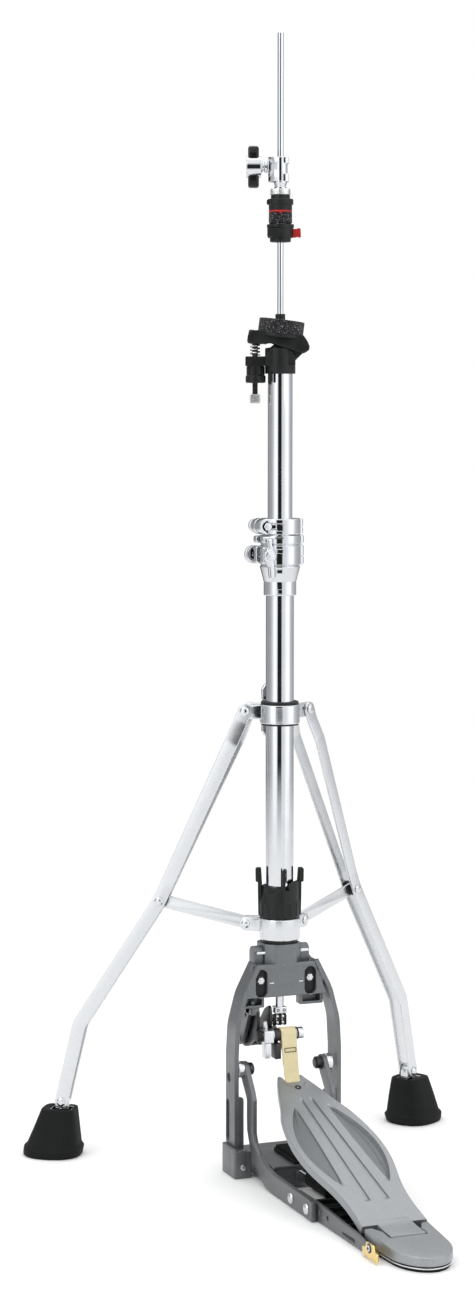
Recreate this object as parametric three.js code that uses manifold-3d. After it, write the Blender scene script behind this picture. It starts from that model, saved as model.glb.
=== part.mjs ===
// Hi-hat stand: two splayed strap legs, a telescoping column and a long pedal hung in a cast frame.
// Millimetres, +Z up, floor at z = 0, column axis on X = Y = 0, heel of the pedal toward -Y.
import * as THREE from "three";
import { mergeVertices } from "three/addons/utils/BufferGeometryUtils.js";
import Module from "manifold-3d";

const wasm = await Module();
wasm.setup();

// Driving dimensions
const GAP = 0.3;
const FINE = 20;
const COARSE = 14;

const LOWER_TUBE_R = 14.5;
const LOWER_TUBE_BORE = 13.2;
const LOWER_TUBE_Z = [209, 640];
const UPPER_TUBE_R = 12.7;
const UPPER_TUBE_BORE = 11.2;
const UPPER_TUBE_Z = [470, 850];
const ROD_R = 3.15;
const ROD_Z = [174, 1174];
const ROD_COLLAR_Z = 430;

const CLAMP_Z = [601.7, 663.8];
const MEMORY_Z = [664.6, 681];
const CLAMP_R = 20.8;
const BOLT_X = -19.2;
const CLAMP_BOLT_Z = 643;
const MEMORY_BOLT_Z = 673;

// The head (seat and clutch) is turned about the column from the pedal's line.
const HEAD_TURN = THREE.MathUtils.degToRad(-21.3);
const SEAT_Z = [829, 848];
const SEAT_HINGE = [23.8, 857];
const SEAT_TILT = THREE.MathUtils.degToRad(7);
const TILTER_SHIFT = -2.7;
const SEAT_SLEEVE_R = 5.1;
const TILTER_HOLE_R = 8.3;
const TILT_SCREW_X = -25.8;

const CLUTCH_BOLT_Z = 1038.6;

const LEG_TURN = THREE.MathUtils.degToRad(-1.5);
const LEG_SPREAD = THREE.MathUtils.degToRad(58.3);
const LEG_TOP = [34.6, 481.6];
const LEG_KNEE = [127.5, 278.4];
const LEG_BEND = [215, 143];
const LEG_END = [235, 58.5];
const LEG_HALF_WIDTH = 7.2;
const STRAP_THICK = 2.6;
const BRACE_IN = [34.7, 258.2];
const RIVET_R = 3;
const KNEE_CLEARANCE = 2.2;
const UPPER_COLLAR_Z = [469, 488.6];
const LOWER_COLLAR_Z = [243.2, 265.3];
const FOOT_R = 31.7;
const FOOT_CENTRE = 246.6;
const FOOT_TOP_Z = 51;

const FRAME_HALF = 57.6;
const FRAME_FRONT = -18.9;
const FRAME_BACK = 6.2;
const POST_THICK = 4.6;
const FASCIA_Z = [185.3, 220];

const ARM_PIVOT = [-12, 110.6];
const ARM_X = [41.5, 46.5];
const HEEL_HINGE = [-316, 10];
const HEEL_HALF = 33.5;
const BOARD_ANGLE = THREE.MathUtils.degToRad(17.4);
const BOARD_HINGE_LINE = [-291.7, 21.2];
const BOARD_LENGTH = 275.5;
const BOARD_THICK = 8;
const LEVER_PIVOT = [30, 134];
const STRAP_SHAFT = [-20, 146];
const STRAP_HALF = 8.2;

// Materials
const finish = (color, roughness, metalness) => new THREE.MeshStandardMaterial({ color, roughness, metalness });
const chrome = finish(0xd5d9dd, 0.12, 1);
const steel = finish(0xa9adb0, 0.35, 1);
const castGrey = finish(0x55595b, 0.45, 0.5);
const boardGrey = finish(0xa3a8ab, 0.45, 0.5);
const blackPlastic = finish(0x17191a, 0.5, 0);
const rubber = finish(0x0d0e0e, 0.85, 0);
const felt = finish(0x3a3a3c, 1, 0);
const redPlastic = finish(0xb01f24, 0.4, 0);
const brass = finish(0xc7a24a, 0.35, 1);
const webbing = finish(0xe4d99a, 0.9, 0);

// Solids
function solid(geometry) {
  const flat = geometry.index ? geometry.toNonIndexed() : geometry;
  const bare = new THREE.BufferGeometry().setAttribute("position", flat.getAttribute("position"));
  const merged = mergeVertices(bare, 1e-4);
  const made = new wasm.Manifold(
    new wasm.Mesh({
      numProp: 3,
      vertProperties: merged.attributes.position.array,
      triVerts: new Uint32Array(merged.index.array),
    }),
  );
  return made;
}

function box(x0, x1, y0, y1, z0, z1) {
  const geometry = new THREE.BoxGeometry(x1 - x0, y1 - y0, z1 - z0);
  geometry.translate((x0 + x1) / 2, (y0 + y1) / 2, (z0 + z1) / 2);
  return solid(geometry);
}

function bar(radius, start, end, sides = COARSE) {
  const a = new THREE.Vector3(...start);
  const b = new THREE.Vector3(...end);
  const along = b.clone().sub(a);
  const geometry = new THREE.CylinderGeometry(radius, radius, along.length(), sides);
  const turn = new THREE.Quaternion().setFromUnitVectors(new THREE.Vector3(0, 1, 0), along.normalize());
  geometry.applyQuaternion(turn);
  const middle = a.add(b).multiplyScalar(0.5);
  geometry.translate(middle.x, middle.y, middle.z);
  return solid(geometry);
}

// A solid of revolution about Z; the profile runs in [radius, z] pairs, upward on the outside.
function turned(profile, sides = FINE) {
  const points = profile.map(([r, z]) => new THREE.Vector2(r, z));
  const geometry = new THREE.LatheGeometry(points, sides);
  geometry.rotateX(Math.PI / 2);
  return solid(geometry);
}

function ring(outer, inner, z0, z1, sides = FINE) {
  return turned(
    [
      [inner, z0],
      [outer, z0],
      [outer, z1],
      [inner, z1],
      [inner, z0],
    ],
    sides,
  );
}

function shapeOf(points) {
  return new THREE.Shape(points.map(([u, v]) => new THREE.Vector2(u, v)));
}

function extruded(shape, depth, curveSegments = 4) {
  return new THREE.ExtrudeGeometry(shape, { depth, bevelEnabled: false, curveSegments });
}

// Outline in (x, y), thickness along Z.
function plateXY(shape, z0, z1) {
  return solid(extruded(shape, z1 - z0).translate(0, 0, z0));
}

// Outline in (y, z), thickness along X.
function plateYZ(shape, x0, x1) {
  const toWorld = new THREE.Matrix4().makeBasis(
    new THREE.Vector3(0, 1, 0),
    new THREE.Vector3(0, 0, 1),
    new THREE.Vector3(1, 0, 0),
  );
  return solid(extruded(shape, x1 - x0).applyMatrix4(toWorld).translate(x0, 0, 0));
}

// Outline in (x, z), thickness along Y.
function plateXZ(shape, y0, y1) {
  return solid(extruded(shape, y1 - y0).rotateX(Math.PI / 2).translate(0, y1, 0));
}

// A slot-shaped outline: two round ends of one radius joined by straight sides.
function stadium(a, b, radius) {
  const angle = Math.atan2(b[1] - a[1], b[0] - a[0]);
  const quarter = Math.PI / 2;
  const shape = new THREE.Shape();
  shape.absarc(b[0], b[1], radius, angle - quarter, angle + quarter, false);
  shape.absarc(a[0], a[1], radius, angle + quarter, angle + 3 * quarter, false);
  shape.closePath();
  return shape;
}

const joined = (solids) => solids.reduce((whole, next) => whole.add(next));
const mirrored = (half) => half.add(half.mirror([1, 0, 0]));

function placed(geometrySolid, matrix) {
  return geometrySolid.transform(matrix.elements);
}

// Scene graph
const stand = new THREE.Group();
const head = new THREE.Group();
head.rotation.z = HEAD_TURN;
stand.add(head);

function piece(name, shape, material, parent = stand) {
  const mesh = shape.getMesh();
  const geometry = new THREE.BufferGeometry();
  geometry.setAttribute("position", new THREE.BufferAttribute(new Float32Array(mesh.vertProperties), 3));
  geometry.setIndex(new THREE.BufferAttribute(new Uint32Array(mesh.triVerts), 1));
  geometry.computeVertexNormals();
  const node = new THREE.Mesh(geometry, material);
  node.name = name;
  parent.add(node);
}

// Column
function lowerTube() {
  const slot = box(-2.3, 2.3, -20, 20, 294, 318);
  return ring(LOWER_TUBE_R, LOWER_TUBE_BORE, ...LOWER_TUBE_Z).subtract(slot);
}

function heightClamp() {
  const inside = LOWER_TUBE_R + GAP;
  const neck = UPPER_TUBE_R + GAP;
  const body = turned([
    [inside, CLAMP_Z[0]],
    [16.6, CLAMP_Z[0]],
    [16.6, 617],
    [CLAMP_R, 631],
    [CLAMP_R, 632],
    [19.6, 632.3],
    [19.6, 633.4],
    [CLAMP_R, 633.7],
    [CLAMP_R, 653],
    [19.4, 653.3],
    [19.4, 655],
    [20.4, 655.4],
    [20.4, CLAMP_Z[1]],
    [neck, CLAMP_Z[1]],
    [neck, 641],
    [inside, 641],
    [inside, CLAMP_Z[0]],
  ]);
  const lug = bar(9, [BOLT_X, -15, CLAMP_BOLT_Z], [BOLT_X, 14.5, CLAMP_BOLT_Z]);
  const leaf = plateXZ(
    shapeOf([
      [-21.5, 662],
      [-20.5, 619],
      [-15, 617],
      [-13, 660],
    ]),
    -18.5,
    -14,
  );
  const knuckle = bar(3.6, [23, 0, 634], [23, 0, 660], 12);
  const bores = joined([
    ring(inside, 0.01, CLAMP_Z[0] - 1, 641),
    ring(neck, 0.01, 640, CLAMP_Z[1] + 1),
    bar(RIVET_R + GAP, [BOLT_X, -30, CLAMP_BOLT_Z], [BOLT_X, 30, CLAMP_BOLT_Z]),
  ]);
  return joined([body, lug, leaf, knuckle]).subtract(bores);
}

// A bolt along Y with a hexagon head in front and a round nut behind, turned as one.
function clampBolt(z, front, back, nutRadius) {
  const shank = bar(RIVET_R, [BOLT_X, front, z], [BOLT_X, back, z]);
  const headHex = bar(4.6, [BOLT_X, front - 3, z], [BOLT_X, front, z], 6);
  const nut = bar(nutRadius, [BOLT_X, back - 4.5, z], [BOLT_X, back + 1, z], FINE);
  const knob = bar(nutRadius - 1.5, [BOLT_X, back + 1, z], [BOLT_X, back + 8, z], FINE);
  return joined([shank, headHex, nut, knob]);
}

function memoryLock() {
  const bore = UPPER_TUBE_R + GAP;
  const body = ring(CLAMP_R, bore, ...MEMORY_Z);
  const lug = bar(7.6, [BOLT_X, -12, MEMORY_BOLT_Z], [BOLT_X, 12, MEMORY_BOLT_Z]);
  const knuckle = bar(3, [23, 0, 666], [23, 0, 680], 12);
  const bores = joined([
    ring(bore, 0.01, MEMORY_Z[0] - 1, MEMORY_Z[1] + 1),
    bar(RIVET_R + GAP, [BOLT_X, -30, MEMORY_BOLT_Z], [BOLT_X, 30, MEMORY_BOLT_Z]),
    bar(5, [BOLT_X, -30, MEMORY_BOLT_Z], [BOLT_X, -12.2, MEMORY_BOLT_Z]),
    bar(7.6, [BOLT_X, 12.2, MEMORY_BOLT_Z], [BOLT_X, 30, MEMORY_BOLT_Z]),
  ]);
  return joined([body, lug, knuckle])
    .trimByPlane([0, 0, 1], MEMORY_Z[0])
    .subtract(bores);
}

class Helix extends THREE.Curve {
  constructor(radius, z0, z1, turns) {
    super();
    Object.assign(this, { radius, z0, z1, turns });
  }
  getPoint(t, target = new THREE.Vector3()) {
    const angle = 2 * Math.PI * this.turns * t;
    const z = this.z0 + (this.z1 - this.z0) * t;
    return target.set(this.radius * Math.cos(angle), this.radius * Math.sin(angle), z);
  }
}

function spring(radius, wire, z0, z1, turns) {
  const section = new THREE.Shape().absarc(0, 0, wire, 0, 2 * Math.PI, false);
  const geometry = new THREE.ExtrudeGeometry(section, {
    steps: turns * 9,
    extrudePath: new Helix(radius, z0 + wire, z1 - wire, turns),
    curveSegments: 3,
  });
  return solid(geometry);
}

function springSeat() {
  const washer = ring(12.7, 3.8, 300, 304, COARSE);
  const pins = joined([bar(1.7, [0, -18, 302], [0, -5, 302], 10), bar(1.7, [0, 5, 302], [0, 18, 302], 10)]);
  return washer.add(pins);
}

function tensionDial() {
  const inside = LOWER_TUBE_R + GAP;
  const body = turned([
    [inside, 265.9],
    [20.6, 265.9],
    [21.6, 269],
    [21.6, 283],
    [19.5, 291],
    [19.5, 299.5],
    [inside, 299.5],
    [inside, 265.9],
  ]);
  const prongAngles = [-21.3, 68.7, 158.7, 228.7];
  const prongs = prongAngles.map((degrees) =>
    box(18.2, 24.6, -4.6, 4.6, 276, 318).rotate([0, 0, degrees]),
  );
  return joined([body, ...prongs]).subtract(box(-2.6, 2.6, -30, 30, 296, 320));
}

piece("lower_tube", lowerTube(), chrome);
piece("height_clamp", heightClamp(), chrome);
piece("height_clamp_bolt", clampBolt(CLAMP_BOLT_Z, -19, 23.2, 9.4), chrome);
piece("upper_tube", ring(UPPER_TUBE_R, UPPER_TUBE_BORE, ...UPPER_TUBE_Z), chrome);
piece("memory_lock", memoryLock(), chrome);
piece("memory_lock_bolt", clampBolt(MEMORY_BOLT_Z, -12.5, 17, 7.2), chrome);
piece("rod_spring", spring(8, 0.9, 304.4, ROD_COLLAR_Z - GAP, 10), steel);
piece("spring_seat", springSeat(), steel);
piece("tension_dial", tensionDial(), blackPlastic);

// Pull rod and its linkage
function pullRod() {
  const collar = ring(9.6, ROD_R - 1, ROD_COLLAR_Z, ROD_COLLAR_Z + 4, COARSE);
  return turned(
    [
      [0, ROD_Z[0]],
      [ROD_R, ROD_Z[0]],
      [ROD_R, ROD_Z[1] - 1],
      [ROD_R - 1, ROD_Z[1]],
      [0, ROD_Z[1]],
    ],
    COARSE,
  ).add(collar);
}

function rodClevis() {
  const socket = bar(4.4, [0, 0, 170], [0, 0, 183]);
  const body = box(-6.6, 6.6, -5, 5, 163.8, 171);
  return joined([socket, body]).subtract(bar(ROD_R + GAP, [0, 0, 173.7], [0, 0, 184]));
}

function rodChain() {
  const link = stadium([0, 153.6], [0, 160.2], 3.1);
  const plates = [-6.6, -2.6, 1.4, 5.4].map((x) => plateYZ(link, x, x + 1.2));
  const pins = [153.8, 160].map((z) => bar(1.3, [-7.2, 0, z], [7.2, 0, z], 10));
  return joined([...plates, ...pins]);
}

piece("pull_rod", pullRod(), chrome);
piece("rod_clevis", rodClevis(), chrome);
piece("rod_chain", rodChain(), blackPlastic);

// Cymbal seat, in the turned head
function seatBody() {
  const sleeve = bar(15.6, [0, 0, SEAT_Z[0]], [0, 0, SEAT_Z[1]], FINE);
  const cap = bar(15.6, [0, 0, SEAT_Z[1]], [0, 0, 855], FINE);
  const bracket = box(-33, -8, -8, 8, 836.5, 848);
  const screwBoss = joined([bar(9.2, [-25.8, 0, 828], [-25.8, 0, 837]), bar(10.4, [-25.8, 0, 820], [-25.8, 0, 828])]);
  const ear = plateXZ(
    shapeOf([
      [6, 838],
      [15, 843],
      [24, 850.5],
      [27.5, 855],
      [25, 860],
      [18, 862],
      [6, 855],
    ]),
    -4.4,
    4.4,
  );
  const pin = bar(2.2, [SEAT_HINGE[0], -9.6, SEAT_HINGE[1]], [SEAT_HINGE[0], 9.6, SEAT_HINGE[1]], 12);
  const hollow = joined([
    bar(UPPER_TUBE_R + GAP, [0, 0, SEAT_Z[0] - 1], [0, 0, UPPER_TUBE_Z[1] + GAP], FINE),
    bar(4, [0, 0, 840], [0, 0, 895]),
    bar(3.4, [TILT_SCREW_X, 0, 815], [TILT_SCREW_X, 0, 855]),
  ]);
  const collar = bar(SEAT_SLEEVE_R, [0, 0, 850], [0, 0, 890]);
  return joined([sleeve, cap, bracket, screwBoss, ear, collar]).subtract(hollow).add(pin);
}

const tiltMatrix = new THREE.Matrix4()
  .makeTranslation(SEAT_HINGE[0], 0, SEAT_HINGE[1])
  .multiply(new THREE.Matrix4().makeRotationY(SEAT_TILT))
  .multiply(new THREE.Matrix4().makeTranslation(-SEAT_HINGE[0], 0, -SEAT_HINGE[1]));

function seatTilter() {
  const plate = plateXZ(
    shapeOf([
      [-34, 864],
      [-28, 870.5],
      [20, 870.5],
      [27, 863],
      [29, 857],
      [26, 852.5],
      [20, 852.5],
      [-8, 858.5],
      [-34, 858.5],
    ]),
    -17,
    17,
  ).intersect(bar(34, [0, 0, 845], [0, 0, 880], FINE));
  const cavity = joined([
    box(-12, 40, -9.9, 9.9, 840, 866),
    bar(16.2, [0, 0, 845], [0, 0, 862], FINE),
    bar(TILTER_HOLE_R, [TILTER_SHIFT, 0, 845], [TILTER_SHIFT, 0, 880]),
    bar(2.5, [SEAT_HINGE[0], -20, SEAT_HINGE[1]], [SEAT_HINGE[0], 20, SEAT_HINGE[1]], 12),
  ]);
  return placed(plate.subtract(cavity), tiltMatrix);
}

function seatFelt() {
  return placed(ring(23.4, TILTER_HOLE_R, 870.9, 884.4).translate([TILTER_SHIFT, 0, 0]), tiltMatrix);
}

function tiltScrew() {
  const shank = bar(3, [TILT_SCREW_X, 0, 806], [TILT_SCREW_X, 0, 860.6], 16);
  const key = box(-5.2, 5.2, -5.2, 5.2, 798.4, 808).translate([TILT_SCREW_X, 0, 0]);
  return shank.add(key);
}

piece("seat_body", seatBody(), blackPlastic, head);
piece("seat_tilter", seatTilter(), blackPlastic, head);
piece("seat_felt", seatFelt(), felt, head);
piece("tilt_screw", tiltScrew(), steel, head);
piece("tilt_spring", spring(4.6, 0.6, 848.4, 860.4, 3).translate([TILT_SCREW_X, 0, 0]), steel, head);

// Clutch, in the turned head
function clutchBody() {
  const block = box(-8, 3, -7, 7, 1023.6, 1048.6);
  const barrel = bar(7.6, [0, 0, 1023.6], [0, 0, 1048.6], FINE);
  const lugs = joined([box(2, 9.6, -6, 6, 1041.6, 1048.6), box(2, 9.6, -6, 6, 1023.6, 1032)]);
  const boss = bar(6, [-12.5, 0, CLUTCH_BOLT_Z], [-7, 0, CLUTCH_BOLT_Z]);
  const stem = bar(5.6, [0, 0, 963.2], [0, 0, 1024]);
  const bores = joined([
    bar(ROD_R + GAP, [0, 0, 950], [0, 0, 1060]),
    bar(2.7, [-40, 0, CLUTCH_BOLT_Z], [-2, 0, CLUTCH_BOLT_Z]),
  ]);
  return joined([block, barrel, lugs, boss, stem]).subtract(bores);
}

function clutchWingBolt() {
  const shank = bar(2.4, [-4, 0, CLUTCH_BOLT_Z], [-20, 0, CLUTCH_BOLT_Z], 16);
  const collar = bar(4.4, [-13, 0, CLUTCH_BOLT_Z], [-19.6, 0, CLUTCH_BOLT_Z], 16);
  const boss = box(-34.4, -19.2, -6, 6, 1028.6, 1048.6);
  const wing = plateYZ(stadium([0, 1023], [0, 1054.2], 6.2), -33, -22);
  return joined([shank, collar, boss, wing]);
}

const cupBore = 5.6 + GAP;
function clutchUpperCup() {
  return turned([
    [cupBore, 992.6],
    [11.8, 992.6],
    [11.8, 1000.3],
    [13.2, 1000.3],
    [13.2, 1006.2],
    [9.8, 1006.2],
    [9.8, 1010],
    [cupBore, 1010],
    [cupBore, 992.6],
  ]);
}

function clutchLowerCup() {
  const cup = turned([
    [cupBore, 962.8],
    [10.6, 962.8],
    [10.6, 967.2],
    [13, 967.2],
    [13, 977],
    [13.7, 977],
    [13.7, 980.9],
    [cupBore, 980.9],
    [cupBore, 962.8],
  ]);
  const panel = box(-13.6, 1, -13.9, 0, 967.6, 976.6);
  const pocket = box(6.8, 20, -3.2, 3.2, 966, 976.8);
  const keep = joined([cup, panel.subtract(bar(cupBore, [0, 0, 960], [0, 0, 985]))]);
  return keep.subtract(pocket);
}

function clutchRelease() {
  return joined([box(7.2, 13.5, -2.8, 2.8, 969, 975), box(13, 21.8, -3, 3, 966.8, 976.4)]).trimByPlane(
    [-0.5, 0, 0.86],
    824.5,
  );
}

piece("clutch_body", clutchBody(), chrome, head);
piece("clutch_wing_bolt", clutchWingBolt(), chrome, head);
piece("clutch_nut", ring(10.8, cupBore, 1010.4, 1016.3, 28), steel, head);
piece("clutch_upper_cup", clutchUpperCup(), blackPlastic, head);
piece("clutch_felt", ring(11.6, cupBore + 0.4, 981.3, 992.2), felt, head);
piece("clutch_lower_cup", clutchLowerCup(), blackPlastic, head);
piece("clutch_release_lever", clutchRelease(), redPlastic, head);

// Legs. A leg group has X along the leg's own direction from the column and Y across it.
const legFrames = {
  left: Math.PI / 2 + LEG_SPREAD + LEG_TURN,
  right: Math.PI / 2 - LEG_SPREAD + LEG_TURN,
};

function legGroup(angle) {
  const group = new THREE.Group();
  group.rotation.z = angle;
  stand.add(group);
  return group;
}

function jaw(pivot, halfAcross, reach, height) {
  const eye = bar(height / 2, [pivot[0], -halfAcross, pivot[1]], [pivot[0], halfAcross, pivot[1]]);
  const root = box(reach, pivot[0], -halfAcross, halfAcross, pivot[1] - height / 2, pivot[1] + height / 2);
  const pin = bar(RIVET_R, [pivot[0], -halfAcross - 4, pivot[1]], [pivot[0], halfAcross + 4, pivot[1]], 16);
  return joined([eye, root, pin]);
}

function upperCollar() {
  const bore = bar(LOWER_TUBE_R + GAP, [0, 0, 460], [0, 0, 500], FINE);
  const body = bar(20.4, [0, 0, UPPER_COLLAR_Z[0]], [0, 0, UPPER_COLLAR_Z[1]], FINE);
  const jaws = Object.values(legFrames).map((angle) =>
    jaw(LEG_TOP, 10.4, 16, 14).rotate([0, 0, THREE.MathUtils.radToDeg(angle)]),
  );
  const bossEnd = [0, 29, 478.8];
  const boss = bar(7.5, [0, 15, 478.8], bossEnd);
  const thread = bar(3.3, [0, 17, 478.8], [0, 40, 478.8]);
  return joined([body, ...jaws, boss]).subtract(bore).subtract(thread);
}

function lowerCollar() {
  const bore = bar(LOWER_TUBE_R + GAP, [0, 0, 230], [0, 0, 280], FINE);
  const body = bar(21.4, [0, 0, LOWER_COLLAR_Z[0]], [0, 0, LOWER_COLLAR_Z[1]], FINE);
  const slot = box(22.5, 60, -1.9, 1.9, 230, 280);
  const jaws = Object.values(legFrames).map((angle) =>
    jaw(BRACE_IN, 6.4, 16, 12)
      .subtract(slot)
      .add(bar(RIVET_R - 0.4, [BRACE_IN[0], -7, BRACE_IN[1]], [BRACE_IN[0], 7, BRACE_IN[1]], 16))
      .rotate([0, 0, THREE.MathUtils.radToDeg(angle)]),
  );
  return joined([body, ...jaws]).subtract(bore);
}

function collarWingBolt() {
  const shank = bar(3, [0, 18.5, 478.8], [0, 33, 478.8], 16);
  const boss = bar(6.4, [0, 29.6, 478.8], [0, 38, 478.8]);
  const wings = plateXZ(stadium([0, 458], [0, 499.5], 7.5), 31.5, 36.5);
  return joined([shank, boss, wings]);
}

// One flat strip: its outline in the leg's plane, met by the bent sheet that spreads it at the top.
function legStrip() {
  const runs = [
    [LEG_TOP, [47.5, 450]],
    [[47.5, 450], LEG_KNEE],
    [LEG_KNEE, LEG_BEND],
    [LEG_BEND, LEG_END],
  ];
  const outline = joined(runs.map(([a, b]) => plateXZ(stadium(a, b, LEG_HALF_WIDTH), 0, 30)));
  const inner = [
    [10.9, 500],
    [10.9, 468],
    [14.6, 449],
    [5.3, 296],
    [5.3, 40],
  ];
  const outer = inner.map(([y, z]) => [y + STRAP_THICK, z]).reverse();
  const sheet = plateYZ(shapeOf([...inner, ...outer]), 0, 300);
  const holes = [LEG_TOP, LEG_KNEE, LEG_END].map(([r, z]) => bar(RIVET_R + GAP, [r, -1, z], [r, 40, z]));
  return outline.intersect(sheet).subtract(joined(holes));
}

function legRivet([r, z], half) {
  const shank = bar(RIVET_R, [r, -half, z], [r, half, z], 16);
  const heads = [-1, 1].map((side) => bar(5, [r, side * half, z], [r, side * (half + 1.6), z], 16));
  return joined([shank, ...heads]);
}

function brace() {
  const flat = plateXZ(stadium(BRACE_IN, LEG_KNEE, 6.6), -1.5, 1.5);
  const pads = bar(7.4, [LEG_KNEE[0], -4.8, LEG_KNEE[1]], [LEG_KNEE[0], 4.8, LEG_KNEE[1]]);
  const collarHole = bar(RIVET_R + GAP, [BRACE_IN[0], -9, BRACE_IN[1]], [BRACE_IN[0], 9, BRACE_IN[1]]);
  const kneeHole = bar(RIVET_R + KNEE_CLEARANCE, [LEG_KNEE[0], -9, LEG_KNEE[1]], [LEG_KNEE[0], 9, LEG_KNEE[1]]);
  return flat.add(pads).subtract(collarHole).subtract(kneeHole);
}

function rubberFoot() {
  const cone = turned([
    [0, 0],
    [FOOT_R - 1.5, 0],
    [FOOT_R, 2],
    [FOOT_R, 8],
    [28.6, 10.5],
    [18.6, FOOT_TOP_Z],
    [0, FOOT_TOP_Z],
  ]);
  const lean = new THREE.Matrix4().makeShear(0, 0, 0, 0, -8 / FOOT_TOP_Z, 0);
  const shift = new THREE.Matrix4().makeTranslation(FOOT_CENTRE, 0, 0).multiply(lean);
  const pocket = box(LEG_END[0] - 12, LEG_END[0] + 13, -9.4, 9.4, 34, 60);
  return placed(cone, shift).subtract(pocket);
}

function footBracket() {
  const x0 = LEG_END[0] - 11.6;
  const x1 = LEG_END[0] + 12.6;
  const tray = box(x0, x1, -4.9, 4.9, 34.4, 37);
  const web = plateXZ(stadium([LEG_END[0] + 1, 42], LEG_END, 7.6), -4.9, 4.9).add(
    box(x0, x1, -4.9, 4.9, 36, 46),
  );
  return joined([tray, web, legRivet(LEG_END, 8.3)]);
}

piece("upper_leg_collar", upperCollar(), chrome);
piece("upper_collar_ring", ring(19.6, LOWER_TUBE_R + GAP, 489, 494.8), blackPlastic);
piece("collar_wing_bolt", collarWingBolt(), chrome);
piece("lower_leg_collar", lowerCollar(), chrome);
for (const [side, angle] of Object.entries(legFrames)) {
  const group = legGroup(angle);
  piece(`leg_${side}_strip_a`, legStrip(), chrome, group);
  piece(`leg_${side}_strip_b`, legStrip().mirror([0, 1, 0]), chrome, group);
  piece(`leg_${side}_knee_rivet`, legRivet(LEG_KNEE, 8.3), chrome, group);
  piece(`brace_${side}`, brace(), chrome, group);
  piece(`foot_${side}_rubber`, rubberFoot(), rubber, group);
  piece(`foot_${side}_bracket`, footBracket(), steel, group);
}

// Frame casting
function frameCasting() {
  const outer = [
    [-FRAME_HALF, 2],
    [-FRAME_HALF, 126],
    [-56, 157],
    [-47.6, 189.5],
    [-32, FASCIA_Z[1]],
    [32, FASCIA_Z[1]],
    [47.6, 189.5],
    [56, 157],
    [FRAME_HALF, 126],
    [FRAME_HALF, 2],
  ];
  const t = POST_THICK;
  const opening = [
    [-FRAME_HALF + t, 0],
    [-FRAME_HALF + t, 126],
    [-51.5, 156],
    [-43.4, FASCIA_Z[0]],
    [-31, 206],
    [31, 206],
    [43.4, FASCIA_Z[0]],
    [51.5, 156],
    [FRAME_HALF - t, 126],
    [FRAME_HALF - t, 0],
  ];
  const arch = plateXZ(shapeOf(outer), FRAME_FRONT, FRAME_BACK).subtract(
    plateXZ(shapeOf(opening), FRAME_FRONT - 1, FRAME_BACK + 1),
  );
  const fascia = plateXZ(
    shapeOf([
      [-45.4, FASCIA_Z[0]],
      [-32, FASCIA_Z[1] - 2],
      [32, FASCIA_Z[1] - 2],
      [45.4, FASCIA_Z[0]],
    ]),
    FRAME_FRONT,
    FRAME_FRONT + 4,
  );
  const slots = [-27.3, 27.3].map((x) => plateXZ(stadium([x, 192], [x, 208.4], 6.4), -30, FRAME_FRONT + 5));
  const deck = box(-38, 38, FRAME_FRONT + 2, 18, 196, 208.5);
  const neck = plateXY(
    shapeOf([
      [-20.2, -9],
      [-11.5, FRAME_FRONT + 0.4],
      [11.5, FRAME_FRONT + 0.4],
      [20.2, -9],
      [20.2, 13],
      [12, 20],
      [-12, 20],
      [-20.2, 13],
    ]),
    204,
    239.6,
  );
  const shoulders = mirrored(
    plateYZ(stadium([0.5, 212], [0.5, 230], 6.6), 19, 31.5),
  );
  const ribs = mirrored(
    box(19.5, 43, -10, 4, 173.5, 198).subtract(box(22.5, 40, -12, 0.5, 177, 192)),
  );
  const innerRails = mirrored(
    plateYZ(stadium([-11, 30], [-11, 77], 3.8), FRAME_HALF - 11.6, FRAME_HALF - 4),
  );
  const bores = joined([
    bar(LOWER_TUBE_R + GAP, [0, 0, LOWER_TUBE_Z[0] - GAP], [0, 0, 250], FINE),
    bar(5.4, [0, 0, 160], [0, 0, 250]),
  ]);
  const pivotHoles = bar(4.3, [-80, ARM_PIVOT[0], ARM_PIVOT[1]], [80, ARM_PIVOT[0], ARM_PIVOT[1]]);
  const windows = mirrored(
    joined([
      plateYZ(stadium([1.2, 38], [1.2, 72], 4.4), 50, 70),
      bar(5, [50, 0.4, 101], [70, 0.4, 101]),
    ]),
  );
  return joined([arch, fascia, deck, neck, shoulders, ribs, innerRails])
    .subtract(joined(slots))
    .subtract(bores)
    .subtract(pivotHoles)
    .subtract(windows);
}

function frameFoot() {
  const block = box(FRAME_HALF + GAP, 61.8, -29.6, FRAME_BACK, 0, 31);
  const front = box(50, 61.8, -29.6, FRAME_FRONT - GAP, 0, 29);
  const rivet = bar(3, [54.5, -31, 12], [54.5, -29, 12], 16);
  return joined([block, front, rivet]);
}

function fasciaBolt(x) {
  const shank = bar(2.6, [x, FRAME_FRONT + 4.7, 203], [x, FRAME_FRONT + 2, 203], 12);
  const headHex = bar(4.4, [x, FRAME_FRONT + 4.3, 203], [x, FRAME_FRONT + 0.8, 203], 6);
  const washer = bar(5.8, [x, FRAME_FRONT + 4.3, 203], [x, FRAME_FRONT + 3.4, 203]);
  return joined([shank, headHex, washer]);
}

function basePlatform() {
  const top = box(-40.8, 40.8, -84, -20, 21, 25);
  const rear = box(-52.6, 52.6, -15.5, 8, 21, 25);
  const web = box(-40.8, 40.8, -21, -15, 21, 25);
  const legs = mirrored(box(36.8, 40.8, -84, -20, 3, 22));
  const front = box(-40.8, 40.8, -84, -80.5, 3, 22).subtract(box(-14, 14, -90, -70, 5, 18));
  return joined([top, rear, web, legs, front]);
}

function platformPad() {
  const block = box(-17, 17, -82, -26, 25.3, 29.5);
  const ribs = Array.from({ length: 8 }, (unused, i) => -77 + i * 6.6).map((y) =>
    box(-15.5, 15.5, y, y + 3.6, 29, 32.4),
  );
  return joined([block, ...ribs]);
}

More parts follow.
